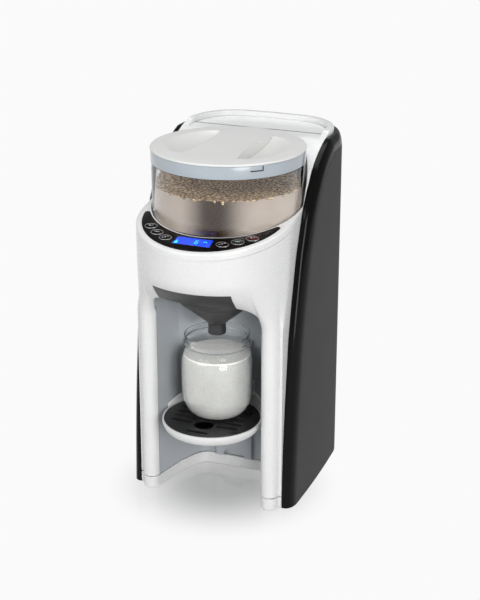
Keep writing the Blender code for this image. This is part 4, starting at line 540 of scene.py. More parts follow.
def combine(target, others, operation):
    """Boolean the others into the target, and remove them."""
    for other in others:
        step = target.modifiers.new("combine", "BOOLEAN")
        step.operation = operation
        step.solver = "EXACT"
        step.object = other
        depsgraph = bpy.context.evaluated_depsgraph_get()
        mesh = bpy.data.meshes.new_from_object(target.evaluated_get(depsgraph))
        target.modifiers.clear()
        target.data = mesh
        bpy.data.objects.remove(other, do_unlink=True)
    target.data.set_sharp_from_angle(angle=SMOOTH_ANGLE)
    return target


def pulled(name, ring, first, last):
    """An upright outline of (x, z) pulled from one depth to another."""
    return loft(name, [[(x, y, z) for x, z in ring] for y in (first, last)])


def cut(target, *cutters):
    """Take the cutters out of the target."""
    return combine(target, cutters, "DIFFERENCE")


def fuse(target, *others):
    """Join the others to the target."""
    return combine(target, others, "UNION")


def bore(item, radius, low, high, center, steps=SMALL_STEPS):
    """Cut a round hole through a piece, past both heights."""
    cut(item, cylinder("bore", radius, low - OVERRUN, high + OVERRUN, center, steps))


def edges_rounded(item, width, angle, segments):
    """Round the sharp edges of a piece, and keep its flats flat."""
    step = item.modifiers.new("edges", "BEVEL")
    step.width = width
    step.segments = segments
    step.limit_method = "ANGLE"
    step.angle_limit = radians(angle)
    step.use_clamp_overlap = True
    step.harden_normals = True
    return item


def arc(center, radius, first, last, steps):
    """Points on an arc, in degrees."""
    angles = [radians(angle) for angle in spread(first, last, steps)]
    return [(center[0] + radius * cos(angle), center[1] + radius * sin(angle)) for angle in angles]


def both_sides(half):
    """A line from left to right, from its right half."""
    return [(-x, y) for x, y in reversed(half[1:])] + half


def mirrored(half):
    """A closed outline from its right half."""
    return list(half) + [(-x, y) for x, y in reversed(half) if abs(x) > GAP]


def inset(outline, distance):
    """A counterclockwise outline moved in by a distance."""
    moved = []
    count = len(outline)
    for k in range(count):
        before = Vector(outline[k]) - Vector(outline[k - 1])
        after = Vector(outline[(k + 1) % count]) - Vector(outline[k])
        first = Vector((-before.y, before.x)).normalized()
        second = Vector((-after.y, after.x)).normalized()
        push = (first + second) * (distance / (1.0 + first.dot(second)))
        moved.append((outline[k][0] + push.x, outline[k][1] + push.y))
    return moved


def settle(item, node, slot, material=None, extra=False):
    """Put a new piece on its node's body, in the node's stead unless it is an extra, with its finish."""
    item.data.materials.clear()
    item.data.materials.append(material or MATERIALS[slot])
    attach(item, NODE_BODY[node])
    if not extra:
        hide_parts(node)
        if node in EDGES:
            edges_rounded(item, *EDGES[node])


def shader_node(tree, kind, settings=None, values=None):
    """A shader node with its settings and its sockets' values."""
    made = tree.nodes.new("ShaderNode" + kind)
    for key, value in (settings or {}).items():
        setattr(made, key, value)
    for key, value in (values or {}).items():
        made.inputs[key].default_value = value
    return made


def blank(name, values):
    """A new material with a Principled shader whose sockets are set."""
    made = bpy.data.materials.new(name)
    made.use_nodes = True
    shader = made.node_tree.nodes["Principled BSDF"]
    for key, value in values.items():
        shader.inputs[key].default_value = value
    return made, made.node_tree, shader


def noise(tree, scale, detail=2.0, roughness=0.5):
    """A noise pattern in the piece's own metres."""
    place = shader_node(tree, "TexCoord")
    made = shader_node(tree, "TexNoise", None,
                       {"Scale": scale, "Detail": detail, "Roughness": roughness})
    tree.links.new(place.outputs["Object"], made.inputs["Vector"])
    return made.outputs["Fac"]


def ranged(tree, source, low=0.0, high=1.0, start=0.3, end=0.7, smooth=False):
    """A pattern mapped to a range of values."""
    made = shader_node(tree, "MapRange", {"interpolation_type": "SMOOTHSTEP" if smooth else "LINEAR"},
                       {"From Min": start, "From Max": end, "To Min": low, "To Max": high})
    tree.links.new(source, made.inputs["Value"])
    return made.outputs["Result"]


def stepped(tree, source, start, end):
    """A pattern that goes softly from nought to one between two values."""
    return ranged(tree, source, 0.0, 1.0, start, end, True)


def blended(tree, source, first, last):
    """Two colours, or sockets of colour, mixed by a pattern."""
    made = shader_node(tree, "Mix", {"data_type": "RGBA"})
    tree.links.new(source, made.inputs[0])
    for index, color in ((6, first), (7, last)):
        if isinstance(color, bpy.types.NodeSocket):
            tree.links.new(color, made.inputs[index])
        else:
            made.inputs[index].default_value = (*color, 1.0)
    return made.outputs[2]


def joined(tree, operation, *parts):
    """Patterns and numbers joined by one operation."""
    made = shader_node(tree, "Math", {"operation": operation})
    for socket, part in zip(made.inputs, parts):
        if isinstance(part, bpy.types.NodeSocket):
            tree.links.new(part, socket)
        else:
            socket.default_value = part
    return made.outputs[0]


def coordinate(tree, axis, kind="TexCoord", output="Object"):
    """One part of the piece's own place, or of another vector."""
    split = shader_node(tree, "SeparateXYZ")
    tree.links.new(shader_node(tree, kind).outputs[output], split.inputs[0])
    return split.outputs[axis]


def upward(tree, start, end):
    """One where the surface faces up, nought where it doesn't."""
    return ranged(tree, coordinate(tree, "Z", "NewGeometry", "True Normal"), 0.0, 1.0, start, end)


def seen_by(tree, *kinds):
    """One where a ray is of one of the kinds."""
    rays = shader_node(tree, "LightPath").outputs
    result = rays[kinds[0]]
    for kind in kinds[1:]:
        result = joined(tree, "MAXIMUM", result, rays[kind])
    return result


def fed(tree, shader, color=None, rough=None, glow=None):
    """Link patterns to a shader's colour, roughness and glow."""
    for key, source in (("Base Color", color), ("Roughness", rough), ("Emission Color", glow)):
        if source:
            tree.links.new(source, shader.inputs[key])


def clouded(tree, scale, first, last):
    """Two colours mixed in soft clouds."""
    return blended(tree, ranged(tree, noise(tree, scale)), first, last)


def crossed(tree, share, first, second, output="Material Output"):
    """Send a mix of two shaders to the output."""
    mix = shader_node(tree, "MixShader")
    for socket, part in zip(mix.inputs, (share, first.outputs[0], second.outputs[0])):
        tree.links.new(part, socket)
    tree.links.new(mix.outputs[0], tree.nodes[output].inputs["Surface"])


def bumped(tree, shader, source, depth):
    """Give a shader a bump of a depth in metres."""
    made = shader_node(tree, "Bump", None, {"Distance": depth})
    tree.links.new(source, made.inputs["Height"])
    tree.links.new(made.outputs["Normal"], shader.inputs["Normal"])


def moulded(name, color, roughness, grain, depth, range_share, extra):
    """Moulded plastic: a faint cloud of colour, uneven gloss and a fine skin."""
    made, tree, shader = blank(name, extra)
    low = tuple(part * (1 - range_share) for part in color)
    high = tuple(min(part * (1 + range_share), 1.0) for part in color)
    skin = noise(tree, grain, 3.0)
    fed(tree, shader, clouded(tree, 30.0, low, high), ranged(tree, skin, roughness * 0.85, roughness * 1.15))
    bumped(tree, shader, skin, depth)
    return made


def clear_material(name, tint, ior, gloss, roughness=0.02):
    """Clear moulded plastic that lets lamps through to what is behind it."""
    made, tree, shader = blank(name, {"Transmission Weight": 1.0, "IOR": ior, "Specular IOR Level": gloss})
    pale = tuple(part * 0.985 for part in tint)
    skin = noise(tree, 300.0)
    fed(tree, shader, clouded(tree, 40.0, pale, tint), ranged(tree, skin, roughness * 0.8, roughness * 1.2))
    through = shader_node(tree, "BsdfTransparent", None, {"Color": (*tint, 1.0)})
    crossed(tree, seen_by(tree, "Is Shadow Ray"), shader, through)
    return made


def make_materials():
    """Every finish, by slot name."""
    made = {name: moulded(name, *values) for name, values in PLASTICS.items()}
    made["clear_plastic"] = clear_material("clear_plastic", (0.96, 0.97, 0.975), 1.45, 0.22)
    made["bottle_clear"] = clear_material("bottle_clear", (0.97, 0.975, 0.975), 1.25, 0.8)
    made |= {"dark_matte": wrap_material(), "powder_cream": powder_material(), "lcd_blue": lcd_material(),
             "milk_white": milk_material()}
    return made


def wrap_material():
    """Matte dark grey casing with a crisp gloss black band along its swept edge."""
    made, tree, shader = blank("dark_matte", {"Specular IOR Level": 0.13})
    edge = shader_node(tree, "Attribute", {"attribute_name": "edge"})
    band = stepped(tree, edge.outputs["Fac"], BAND_WIDTH - GAP, BAND_WIDTH + GAP)
    matte = clouded(tree, 14.0, *WRAP_GREYS)
    skin = noise(tree, 2400.0, 3.0)
    satin = joined(tree, "MULTIPLY_ADD", band, ranged(tree, skin, 0.36, 0.46), 0.16)
    fed(tree, shader, blended(tree, band, BAND_BLACK, matte), satin)
    bumped(tree, shader, joined(tree, "MULTIPLY", band, skin), 0.00006)
    return made


def dish_material():
    """White gloss, with its inside painted black as shade, so the finger hole reads dark."""
    made = moulded("dish_white", *PLASTICS["white_gloss"][:-1], {})
    tree = made.node_tree
    shader = tree.nodes["Principled BSDF"]
    white = shader.inputs["Base Color"].links[0].from_socket
    # Painted shade: faces that look up below the inner ledge go black.
    under = ranged(tree, coordinate(tree, "Z"), 1.0, 0.0, TRAY_INSIDE[1][1] - GAP, TRAY_INSIDE[1][1])
    inside = joined(tree, "MULTIPLY", upward(tree, 0.1, 0.2), under)
    fed(tree, shader, blended(tree, inside, white, DISH_PAINTED_SHADE))
    return made


def powder_material():
    """Milk powder: packed fine against the wall, browner and granular on top, with painted shade: a darker
    band down its middle where the drum shows no bright reflection.
    """
    made, tree, shader = blank("powder_cream", {"Specular IOR Level": 0.15})
    grain = noise(tree, 460.0, 2.0, 0.6)
    clump = noise(tree, 150.0, 3.0)
    across = coordinate(tree, "X")
    # Painted shade: the powder darkens in a band between these edges across, standing in for the missing
    # reflection there.
    rising = stepped(tree, across, *SHADE_BAND_RISE)
    falling = ranged(tree, across, 1.0, 0.0, *SHADE_BAND_FALL, True)
    shade_band = joined(tree, "MULTIPLY", rising, falling)
    pale = clouded(tree, 30.0, *POWDER_PALES)
    packed = blended(tree, shade_band, pale, SHADE_BAND_BROWN)
    speck = blended(tree, ranged(tree, grain, 0.0, 1.0, 0.45, 0.60), *POWDER_SPECKS)
    ragged = joined(tree, "MULTIPLY_ADD", clump, POWDER_RAGGED, coordinate(tree, "Z"))
    line = POWDER_TOP_Z + POWDER_RAGGED / 2
    near_top = stepped(tree, ragged, line - 0.0012, line - 0.0002)
    loose = joined(tree, "MAXIMUM", near_top, upward(tree, 0.3, 0.6))
    fed(tree, shader, blended(tree, loose, packed, speck), ranged(tree, clump, 0.8, 0.98))
    lumps = joined(tree, "MULTIPLY_ADD", grain, 0.5, clump)
    bumped(tree, shader, joined(tree, "MULTIPLY", lumps, loose), 0.0005)
    return made


def milk_material():
    """Milk with a paler top: painted light, so its top surface reads brighter than the bay's light leaves it.
    """
    made, tree, shader = blank("milk_white", {})
    # Painted light: the top millimetres of the milk go paler.
    lit_top = stepped(tree, coordinate(tree, "Z"), MILK_TOP_Z - LIT_TOP_DEPTH, MILK_TOP_Z - LIT_TOP_DEPTH / 2)
    milk_mottle = ranged(tree, noise(tree, 900.0, 3.0))
    body = clouded(tree, 60.0, *MILK_WHITES)
    top = blended(tree, milk_mottle, *LIT_TOP_WHITES)
    fed(tree, shader, blended(tree, lit_top, body, top), ranged(tree, milk_mottle, 0.22, 0.34))
    return made


def lcd_material():
    """Backlit blue display, a little deeper blue to its right."""
    made, tree, shader = blank("lcd_blue", {"Roughness": 0.12, "Emission Strength": 0.85})
    across = ranged(tree, coordinate(tree, "X"), 0.0, 1.0, -LCD_TOP_HALF, LCD_TOP_HALF)
    shade = joined(tree, "ADD", across, ranged(tree, noise(tree, 1500.0), 0.0, 0.12))
    glow = blended(tree, shade, *LCD_GLOWS)
    fed(tree, shader, blended(tree, shade, *LCD_BLUES), None, glow)
    return made


def glow_material(name, color, strength):
    """A small backlit mark."""
    made, tree, shader = blank(name, {"Roughness": 0.3, "Emission Strength": strength})
    tint = clouded(tree, 2000.0, tuple(part * 0.9 for part in color), color)
    fed(tree, shader, tint, None, tint)
    return made


FLANK_LINE = np.array(flowing([(FLANK_FRONT_Y + FLANK_SWEEP * across, BODY_TOP * up)
                               for up, across in FLANK_SHARES], FLANK_SPAN_STEPS))


def flank_y(z):
    """Depth of the dark shell's front edge at a height."""
    return float(np.interp(z, FLANK_LINE[:, 1], FLANK_LINE[:, 0]))


def edge_distance(y, z):
    """Distance in side view from the dark shell's swept edge and from its top."""
    low = FLANK_LINE[:-1]
    run = FLANK_LINE[1:] - low
    reach = np.array((y, z)) - low
    share = np.clip((reach * run).sum(1) / (run * run).sum(1), 0.0, 1.0)
    best = np.hypot(*(reach - run * share[:, None]).T).min()
    return max(min(float(best), BODY_TOP - z), 0.0)


def side_x(y):
    """Half width of the dark shell at a depth."""
    behind = max(y - SIDE_WIDEST_Y, 0.0)
    return SIDE_HALF - SIDE_TAPER * (behind / (CORNER_Y - SIDE_WIDEST_Y)) ** 2


def land_x():
    """Half width of the dark shell's front and top land, at its outer edge."""
    return BODY_HALF + GAP + WRAP_WALL


def full_bevel(normal_x, y):
    """The bevel's whole width at a place on the dark shell's outline."""
    if y < CORNER_Y:
        return side_x(y) - land_x()
    corner = side_x(CORNER_Y) - land_x()
    return REAR_BEVEL + (corner - REAR_BEVEL) * normal_x


def bevel_inset(normal_x, y, distance):
    """How far the bevel draws the dark shell in, at a distance from its edge."""
    share = max(1.0 - distance / NOSE_LENGTH, 0.0)
    return full_bevel(normal_x, y) * (1.0 - sqrt(1.0 - share * share))


def corner_normals(steps=CORNER_STEPS):
    """Directions round the rear corner."""
    return [Vector((cos(pi / 2 * k / steps), sin(pi / 2 * k / steps))) for k in range(steps + 1)]


def rear_y(x):
    """Depth of the dark shell's slightly crowned rear."""
    return CORNER_Y + CORNER_RADIUS + REAR_CROWN * (1.0 - (x / CORNER_X) ** 2)


def shell_half(front):
    """Right half of the dark shell's outline with its normals, from its front to the rear."""
    depths = [front + NOSE_LENGTH * near for near, _ in quarter(NOSE_STEPS)]
    depths += spread(depths[-1], CORNER_Y, SIDE_STEPS)[1:-1]
    points = [(Vector((side_x(y), y)), Vector((1.0, 0.0))) for y in depths]
    for normal in corner_normals():
        points.append((Vector((CORNER_X, CORNER_Y)) + normal * CORNER_RADIUS, normal))
    for k in range(1, REAR_STEPS + 1):
        x = CORNER_X * (1.0 - k / REAR_STEPS)
        points.append((Vector((x, rear_y(x))), Vector((0.0, 1.0))))
    return points


def wrap_level(z):
    """One level of the dark shell: outer and inner half lines, and the outer points' edge distances."""
    front = flank_y(z)
    outer = [(BODY_HALF + GAP, front)]
    inner = [(BODY_HALF + GAP, front)]
    reach = [0.0]
    for point, normal in shell_half(front):
        distance = edge_distance(point.y, z)
        place = point - normal * bevel_inset(normal.x, point.y, distance)
        behind = place - normal * WRAP_WALL
        outer.append((place.x, place.y))
        inner.append((max(behind.x, BODY_HALF + GAP) if point.y < CORNER_Y else behind.x, behind.y))
        reach.append(distance)
    return outer, inner, reach


def whole_line(half):
    """The line from the left front round the rear to the right front, from its right half."""
    return [(-x, y) for x, y in half[:-1]] + half[::-1]


def build_wrap_shell():
    """Dark side and rear casing with its swept edge."""
    levels = [FLOOR_LIFT] + [float(z) for z in FLANK_LINE[1:, 1] if z < BODY_TOP - NOSE_LENGTH]
    levels += [BODY_TOP - NOSE_LENGTH * near for near, _ in reversed(quarter(NOSE_STEPS))]
    work = bmesh.new()
    layer = work.verts.layers.float.new("edge")
    outer_rows = []
    inner_rows = []
    for z in levels:
        outer, inner, reach = wrap_level(z)
        row = []
        for (x, y), distance in zip(whole_line(outer), reach + reach[-2::-1]):
            vert = work.verts.new((x, y, z))
            vert[layer] = distance
            row.append(vert)
        outer_rows.append(row)
        inner_rows.append([work.verts.new((x, y, z)) for x, y in whole_line(inner)])
    for rows in (outer_rows, inner_rows, (outer_rows[0], inner_rows[0]), (outer_rows[-1], inner_rows[-1])):
        bridged(work, rows, False)
    shell = from_bmesh("wrap_casing", work)
    rear = CORNER_Y + CORNER_RADIUS + REAR_CROWN
    for x, size in ((INLET_X, INLET_SIZE), (SWITCH_X, SWITCH_SIZE)):
        low = (x - size[0] / 2 - GAP, rear - WRAP_WALL - OVERRUN, REAR_FITTING_Z - size[1] / 2 - GAP)
        high = (x + size[0] / 2 + GAP, rear + OVERRUN, REAR_FITTING_Z + size[1] / 2 + GAP)
        cut(shell, box("fitting_room", low, high))
    settle(shell, "wrap_shell", "dark_matte")


def sweep_share(z):
    """How far the front has swept out from the posts to the head at a height."""
    share = min(max((z - SWEEP_LOW_Z) / SWEEP_HEIGHT, 0.0), 1.0)
    return sin(share * pi / 2) ** SWEEP_POWER_SHARE


def head_y(x, z):
    """Depth of the head's round front."""
    top = SWEEP_LOW_Z + SWEEP_HEIGHT
    share = min(max((z - top) / (DECK_Z - top), 0.0), 1.0)
    depth = HEAD_LOW_DEPTH + (HEAD_DEPTH - HEAD_LOW_DEPTH) * share
    return HEAD_Y - depth * sqrt(max(1.0 - (x / BODY_HALF) ** 2, 0.0))


def post_y(x):
    """Depth of the posts' round fronts."""
    across = (abs(x) - POST_X) / POST_RADIUS
    return POST_Y - POST_RADIUS * sqrt(max(1.0 - across * across, 0.0))


def front_y(x, z):
    """Depth of the front shell's outer surface."""
    share = sweep_share(z)
    return post_y(x) * (1.0 - share) + head_y(x, z) * share


def deck_z(y, drop=0.0):
    """Height of the sloping deck at a depth, less a drop."""
    return DECK_Z + DECK_SLOPE * (y - DECK_Y) - drop


def opening_x(z):
    """Half width of the bay's opening in the front shell at a height."""
    if z <= BAY_CEILING_Z - BAY_ARCH_RADIUS:
        return BAY_HALF
    rise = min((z - BAY_CEILING_Z + BAY_ARCH_RADIUS) / BAY_ARCH_RADIUS, 1.0)
    return max(BAY_HALF - BAY_ARCH_RADIUS * (1.0 - sqrt(max(1.0 - rise * rise, 0.0))), COVER_HALF + GAP)


def front_columns(z):
    """Places across the right half at a height: over the funnel cover, and from the opening to the side."""
    cover = COVER_HALF + GAP
    beside = spread(opening_x(z), BAY_HALF, ARCH_STEPS)
    post = [POST_X - POST_RADIUS * cos(angle) for angle in spread(0.0, pi, POST_STEPS)[1:]]
    first = asin((POST_X + POST_RADIUS) / BODY_HALF)
    shoulder = [BODY_HALF * sin(angle) for angle in spread(first, pi / 2, SHOULDER_STEPS)[1:]]
    return spread(0.0, cover, HEAD_COLUMNS), beside + post + shoulder


def front_levels():
    """Heights of the front shell's rows below the head."""
    low = SEAM_Z + SEAM_HALF
    arch_z = BAY_CEILING_Z - BAY_ARCH_RADIUS
    cover = COVER_HALF + GAP
    last = asin(sqrt(1.0 - ((cover - BAY_HALF + BAY_ARCH_RADIUS) / BAY_ARCH_RADIUS) ** 2))
    cover_top = COVER_TOP_Z + GAP
    rows = spread(low, SWEEP_LOW_Z, POST_LEVELS)
    rows += spread(SWEEP_LOW_Z, arch_z, SWEEP_LEVELS)[1:]
    rows += [arch_z + BAY_ARCH_RADIUS * sin(angle) for angle in spread(0.0, last, ARCH_STEPS)[1:]]
    rows += spread(rows[-1], cover_top, COVER_LEVELS)[1:]
    rows += spread(cover_top, SWEEP_LOW_Z + SWEEP_HEIGHT, CHIN_LEVELS)[1:]
    return rows, cover_top


def crease_z(x):
    """Height of the crease under the deck's lip on the head's round front."""
    z = DECK_Z
    for _ in range(4):
        z = deck_z(head_y(x, z), DECK_SKIRT)
    return z


def build_front_shell():
    """White head, arch and posts, as one swept sheet with a wall."""
    levels, cover_top = front_levels()
    head_low = levels[-1]
    work = bmesh.new()

    def vert(side, x, y, z):
        """A vertex on one side."""
        return work.verts.new((side * x, y, z))

    for side in (-1, 1):
        middle_rows = []
        outer_rows = []
        for z in levels:
            middle, outer = front_columns(z)
            if z >= cover_top - GAP / 10:
                middle_rows.append([vert(side, x, front_y(x, z), z) for x in middle])
            row = [vert(side, x, front_y(x, z), z) for x in outer]
            places = spread(front_y(BODY_HALF, z), flank_y(z) + FLANK_TUCK, SIDE_COLUMNS)
            outer_rows.append(row + [vert(side, BODY_HALF, y, z) for y in places[1:]])
        for share in spread(0.0, 1.0, HEAD_LEVELS)[1:]:
            for columns, rows in zip(front_columns(head_low), (middle_rows, outer_rows)):
                row = []
                for x in columns:
                    z = head_low + (crease_z(x) - head_low) * share
                    row.append(vert(side, x, front_y(x, z), z))
                rows.append(row)
            for y in spread(HEAD_Y, HEAD_Y + HEAD_TUCK, SIDE_COLUMNS)[1:]:
                z = head_low + (deck_z(y, DECK_SKIRT) - head_low) * share
                outer_rows[-1].append(vert(side, BODY_HALF, y, z))
        bridged(work, middle_rows, False)
        bridged(work, outer_rows, False)
    shell = from_bmesh("front_housing", work)
    wall = shell.modifiers.new("wall", "SOLIDIFY")
    wall.thickness = SHELL_WALL
    wall.offset = -1.0
    settle(shell, "front_shell", "white_gloss")


def bay_half(extra):
    """Right half of the bay's outline from its front to its rear wall, grown by extra."""
    mid_x = BAY_MID_HALF + extra
    back = BAY_REAR_Y + extra
    corner = []
    for across, behind in ((1.0, 0.0),) + BAY_CORNER_SHARES:
        x = BAY_REAR_HALF + (mid_x - BAY_REAR_HALF) * across
        corner.append((x, BAY_MID_Y + (back - BAY_MID_Y) * behind))
    return [(BAY_HALF + extra, BAY_FRONT_Y)] + flowing(corner, 6)


def bay_space(name, low, high, front):
    """The bay's space, with rounded top corners, as a cutter."""
    outline = mirrored([(BAY_HALF, front)] + bay_half(0.0))
    body = prism(name, outline, low, high)
    corner = (BAY_HALF - BAY_ARCH_RADIUS, high - BAY_ARCH_RADIUS)
    side = [(BAY_HALF + GAP, low - OVERRUN)] + arc(corner, BAY_ARCH_RADIUS + GAP, 0, 90, 24)
    limit = pulled(name + "_arch", mirrored(side), BAY_REAR_Y + OVERRUN, front - OVERRUN)
    return combine(body, [limit], "INTERSECT")


def arch_sleeve(side):
    """Lining of a top corner of the opening, from the bay's front to the housing's inner face."""
    rows = []
    far = BAY_ARCH_RADIUS + LINER_WALL
    for angle in spread(0.0, pi / 2, ARCH_STEPS):
        row = []
        for radius, rear in ((BAY_ARCH_RADIUS, False), (BAY_ARCH_RADIUS, True), (far, True), (far, False)):
            x = BAY_HALF - BAY_ARCH_RADIUS + radius * cos(angle)
            z = BAY_CEILING_Z - BAY_ARCH_RADIUS + radius * sin(angle)
            y = BAY_FRONT_Y + WALL if rear else front_y(x, z) + SHELL_WALL - GAP
            row.append((side * x, y, z))
        rows.append(row)
    return turned_rows("arch_sleeve", rows, False)


def build_bay_liner():
    """Inner wall, ceiling, funnel tunnel and tray rail of the bottle bay."""
    low = SEAM_Z + SEAM_HALF
    top = BAY_CEILING_Z + LINER_WALL
    liner = prism("bay_lining", mirrored(bay_half(LINER_WALL)), low, top)
    front = [(x, front_y(x, BAY_CEILING_Z) + SHELL_WALL - GAP)
             for x in spread(0.0, BAY_HALF, CEILING_STEPS)[:-1]]
    ceiling = front + [(BAY_HALF, BAY_FRONT_Y + WALL)]
    fuse(liner, prism("ceiling", mirrored(ceiling), BAY_CEILING_Z, top))
    cut(liner, bay_space("bay", low - OVERRUN, BAY_CEILING_Z, BAY_FRONT_Y - OVERRUN))
    fuse(liner, arch_sleeve(1), arch_sleeve(-1))
    tunnel_rear = SPOUT_Y + TUNNEL_HALF
    outer_half = TUNNEL_HALF + LINER_WALL
    fuse(liner, box("tunnel", (-outer_half, BAY_FRONT_Y, BAY_CEILING_Z + LINER_WALL / 2),
                    (outer_half, tunnel_rear + LINER_WALL, TUNNEL_ROOF_Z + LINER_WALL)))
    cut(liner, box("tunnel_room", (-TUNNEL_HALF, BAY_FRONT_Y - OVERRUN, top),
                   (TUNNEL_HALF, tunnel_rear, TUNNEL_ROOF_Z)))
    slot_half = FUNNEL_RADIUS + RUN_GAP
    slot = [(slot_half, HEAD_Y - HEAD_DEPTH)] + arc((0.0, SPOUT_Y), slot_half, 0, 90, 24)
    cut(liner, prism("funnel_slot", mirrored(slot), BAY_CEILING_Z - LINER_WALL, top + GAP))
    roof = (TUNNEL_ROOF_Z - LINER_WALL, TUNNEL_ROOF_Z + 2 * LINER_WALL)
    cut(liner, cylinder("chute_hole", CHUTE_HOLE, *roof, (0.0, SPOUT_Y)),
        cylinder("nozzle_hole", NOZZLE_HOLE, *roof, (NOZZLE_X, SPOUT_Y)))
    rail = box("rail", (-RAIL_HALF, BAY_REAR_Y - RAIL_DEPTH, low),
               (RAIL_HALF, BAY_REAR_Y + LINER_WALL / 2, RAIL_TOP_Z))
    groove_rear = BAY_REAR_Y - RAIL_BACK
    near = (RAIL_HALF - RAIL_GROOVE, groove_rear - RAIL_GROOVE, low - OVERRUN)
    far = (RAIL_HALF + OVERRUN, groove_rear, RAIL_TOP_Z + OVERRUN)
    for side in (-1, 1):
        cut(rail, side_box("groove", side, near, far))
    fuse(liner, rail)
    recess = [(RAIL_RECESS_HALF, low - OVERRUN)]
    corner = (RAIL_RECESS_HALF - RAIL_RECESS_ROUND, RAIL_RECESS_TOP_Z - RAIL_RECESS_ROUND)
    recess += arc(corner, RAIL_RECESS_ROUND, 0, 90, 8)
    near = BAY_REAR_Y - RAIL_DEPTH
    cut(liner, pulled("foot_recess", mirrored(recess), near + RAIL_RECESS_DEPTH, near - OVERRUN))
    # Painted shade: the liner wears the darker blue-grey in place of lit white.
    settle(liner, "bay_liner", "white_inner")


def inner_half(extra, front):
    """Right half of the outline inside the dark shell's top edge, drawn in by extra."""
    half = [(BODY_HALF - extra, front)]
    for normal in corner_normals():
        drawn = full_bevel(normal.x, CORNER_Y) + WRAP_WALL + GAP + extra
        place = Vector((CORNER_X, CORNER_Y)) + normal * (CORNER_RADIUS - drawn)
        if place.y > front + GAP:
            half.append((place.x, place.y))
    rear = CORNER_Y + CORNER_RADIUS + REAR_CROWN - REAR_BEVEL - WRAP_WALL - GAP - extra
    half.append((0.0, rear))
    return half


def build_base_plate():
    """White skirt under the seam, open where the bay meets the table."""
    post = arc((POST_X, POST_Y), POST_RADIUS, 180, 360, 24)
    half = bay_half(0.0)[::-1] + [(x, y) for x, y in post if x > BAY_HALF] + [(BODY_HALF, POST_Y)]
    outline = mirrored(half + inner_half(0.0, FLANK_FRONT_Y + FLANK_TUCK))
    top = SEAM_Z - SEAM_HALF
    drawn = inset(outline, BASE_ROUND)
    rings = [at_height(drawn, FLOOR_LIFT), at_height(outline, FLOOR_LIFT + BASE_ROUND),
             at_height(outline, top - BASE_ROUND), at_height(drawn, top)]
    plate = loft("base_skirt", rings)
    for name in FEET + SCREWS:
        low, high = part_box(name)
        middle = (low + high) / 2
        depth = high.z + GAP if name in FEET else top + OVERRUN
        cut(plate, cylinder("hole", (high.x - low.x) / 2 + GAP, 0.0, depth, middle, HOLE_STEPS))
    settle(plate, "base_plate", "white_gloss")


def well_cutter(low, radius=WELL_RADIUS):
    """The round well that the container stands in."""
    return cylinder("well", radius, low, RIM_TOP_Z + OVERRUN, (0.0, CONTAINER_Y), FINE_STEPS)


def head_half():
    """Right half of the head's round outline at the deck."""
    places = [BODY_HALF * sin(angle) for angle in spread(0.0, pi / 2, HEAD_STEPS)]
    return [(x, head_y(x, DECK_Z)) for x in places]


def panel_outline(extra):
    """The control panel's crescent in plan, drawn in by extra."""
    reach = PANEL_OUTER_RADIUS - PANEL_END_ROUND
    back = PANEL_INNER_RADIUS + PANEL_END_ROUND
    between = CONTAINER_Y - HEAD_Y
    end_y = (back ** 2 - reach ** 2 - between ** 2) / (2 * between)
    end = Vector((sqrt(reach ** 2 - end_y ** 2), HEAD_Y - end_y))
    outer_angle = degrees_of(end - Vector((0.0, HEAD_Y)))
    inner_angle = degrees_of(end - Vector((0.0, CONTAINER_Y)))
    front = arc((0.0, HEAD_Y), PANEL_OUTER_RADIUS - extra, -90, outer_angle, PANEL_STEPS)
    tip = arc(end, PANEL_END_ROUND - extra, outer_angle, inner_angle + 180, PANEL_END_STEPS)
    rear = arc((0.0, CONTAINER_Y), PANEL_INNER_RADIUS + extra, inner_angle, -90, PANEL_STEPS)
    return mirrored(front + tip[1:-1] + rear)


def degrees_of(direction):
    """A direction's angle in degrees, from -180 to 180."""
    return direction.angle_signed(Vector((1.0, 0.0))) * 180 / pi


def on_deck(outline, rise):
    """A flat outline laid on the deck and lifted along its normal."""
    return [Vector((x, y, deck_z(y))) + DECK_NORMAL * rise for x, y in outline]


def deck_prism(name, outline, low, high):
    """A solid that stands square to the deck."""
    return loft(name, [on_deck(outline, low), on_deck(outline, high)])


def rounded_plate(name, outline, low, high, soft, steps):
    """A plate that stands square to the deck, with a rounded top edge."""
    rings = [on_deck(outline, low)]
    rings += [on_deck(inset(outline, soft * near + GAP / 1000), high - soft * under)
              for near, under in quarter(steps)]
    return loft(name, rings)


def build_deck_cover():
    """White sloping lip and plate round the control panel and the container."""
    half = head_half()
    outline = both_sides(half) + [(BODY_HALF, DECK_REAR_Y), (-BODY_HALF, DECK_REAR_Y)]
    rings = [[(x, y, deck_z(y, DECK_SKIRT - GAP)) for x, y in outline]]
    for near, under in quarter(LIP_STEPS):
        rings.append([(x, y, deck_z(y, LIP_ROUND * under)) for x, y in inset(outline, LIP_ROUND * near)])
    deck = loft("deck_lip", rings)
    room = inset(outline, WALL)
    low = [(x, y, deck_z(y, DECK_SKIRT + OVERRUN)) for x, y in room]
    high = [(x, y, deck_z(y, DECK_PLATE)) for x, y in room]
    cut(deck, loft("deck_room", [low, high]), well_cutter(SEAT_Z - WELL_BELOW),
        deck_prism("panel_hole", panel_outline(0.0), -BEZEL_THICKNESS - OVERRUN, OVERRUN))
    settle(deck, "deck_cover", "white_gloss")


def rectangle(center, half_x, half_y):
    """A rectangle's corners."""
    return [(center[0] + x * half_x, center[1] + y * half_y) for x, y in ((-1, -1), (1, -1), (1, 1), (-1, 1))]


def lcd_outline(extra):
    """The display's outline, drawn in by extra."""
    return [(extra - LCD_BOTTOM_HALF, LCD_BOTTOM_Y + extra), (LCD_BOTTOM_HALF - extra, LCD_BOTTOM_Y + extra),
            (LCD_TOP_HALF - extra, LCD_TOP_Y - extra), (extra - LCD_TOP_HALF, LCD_TOP_Y - extra)]


def button_places():
    """The six buttons' names and places."""
    return [(f"button_{label}_{number}", (side * x, y)) for label, side in (("left", -1), ("right", 1))
            for number, (x, y) in enumerate(BUTTON_PLACES, 1)]


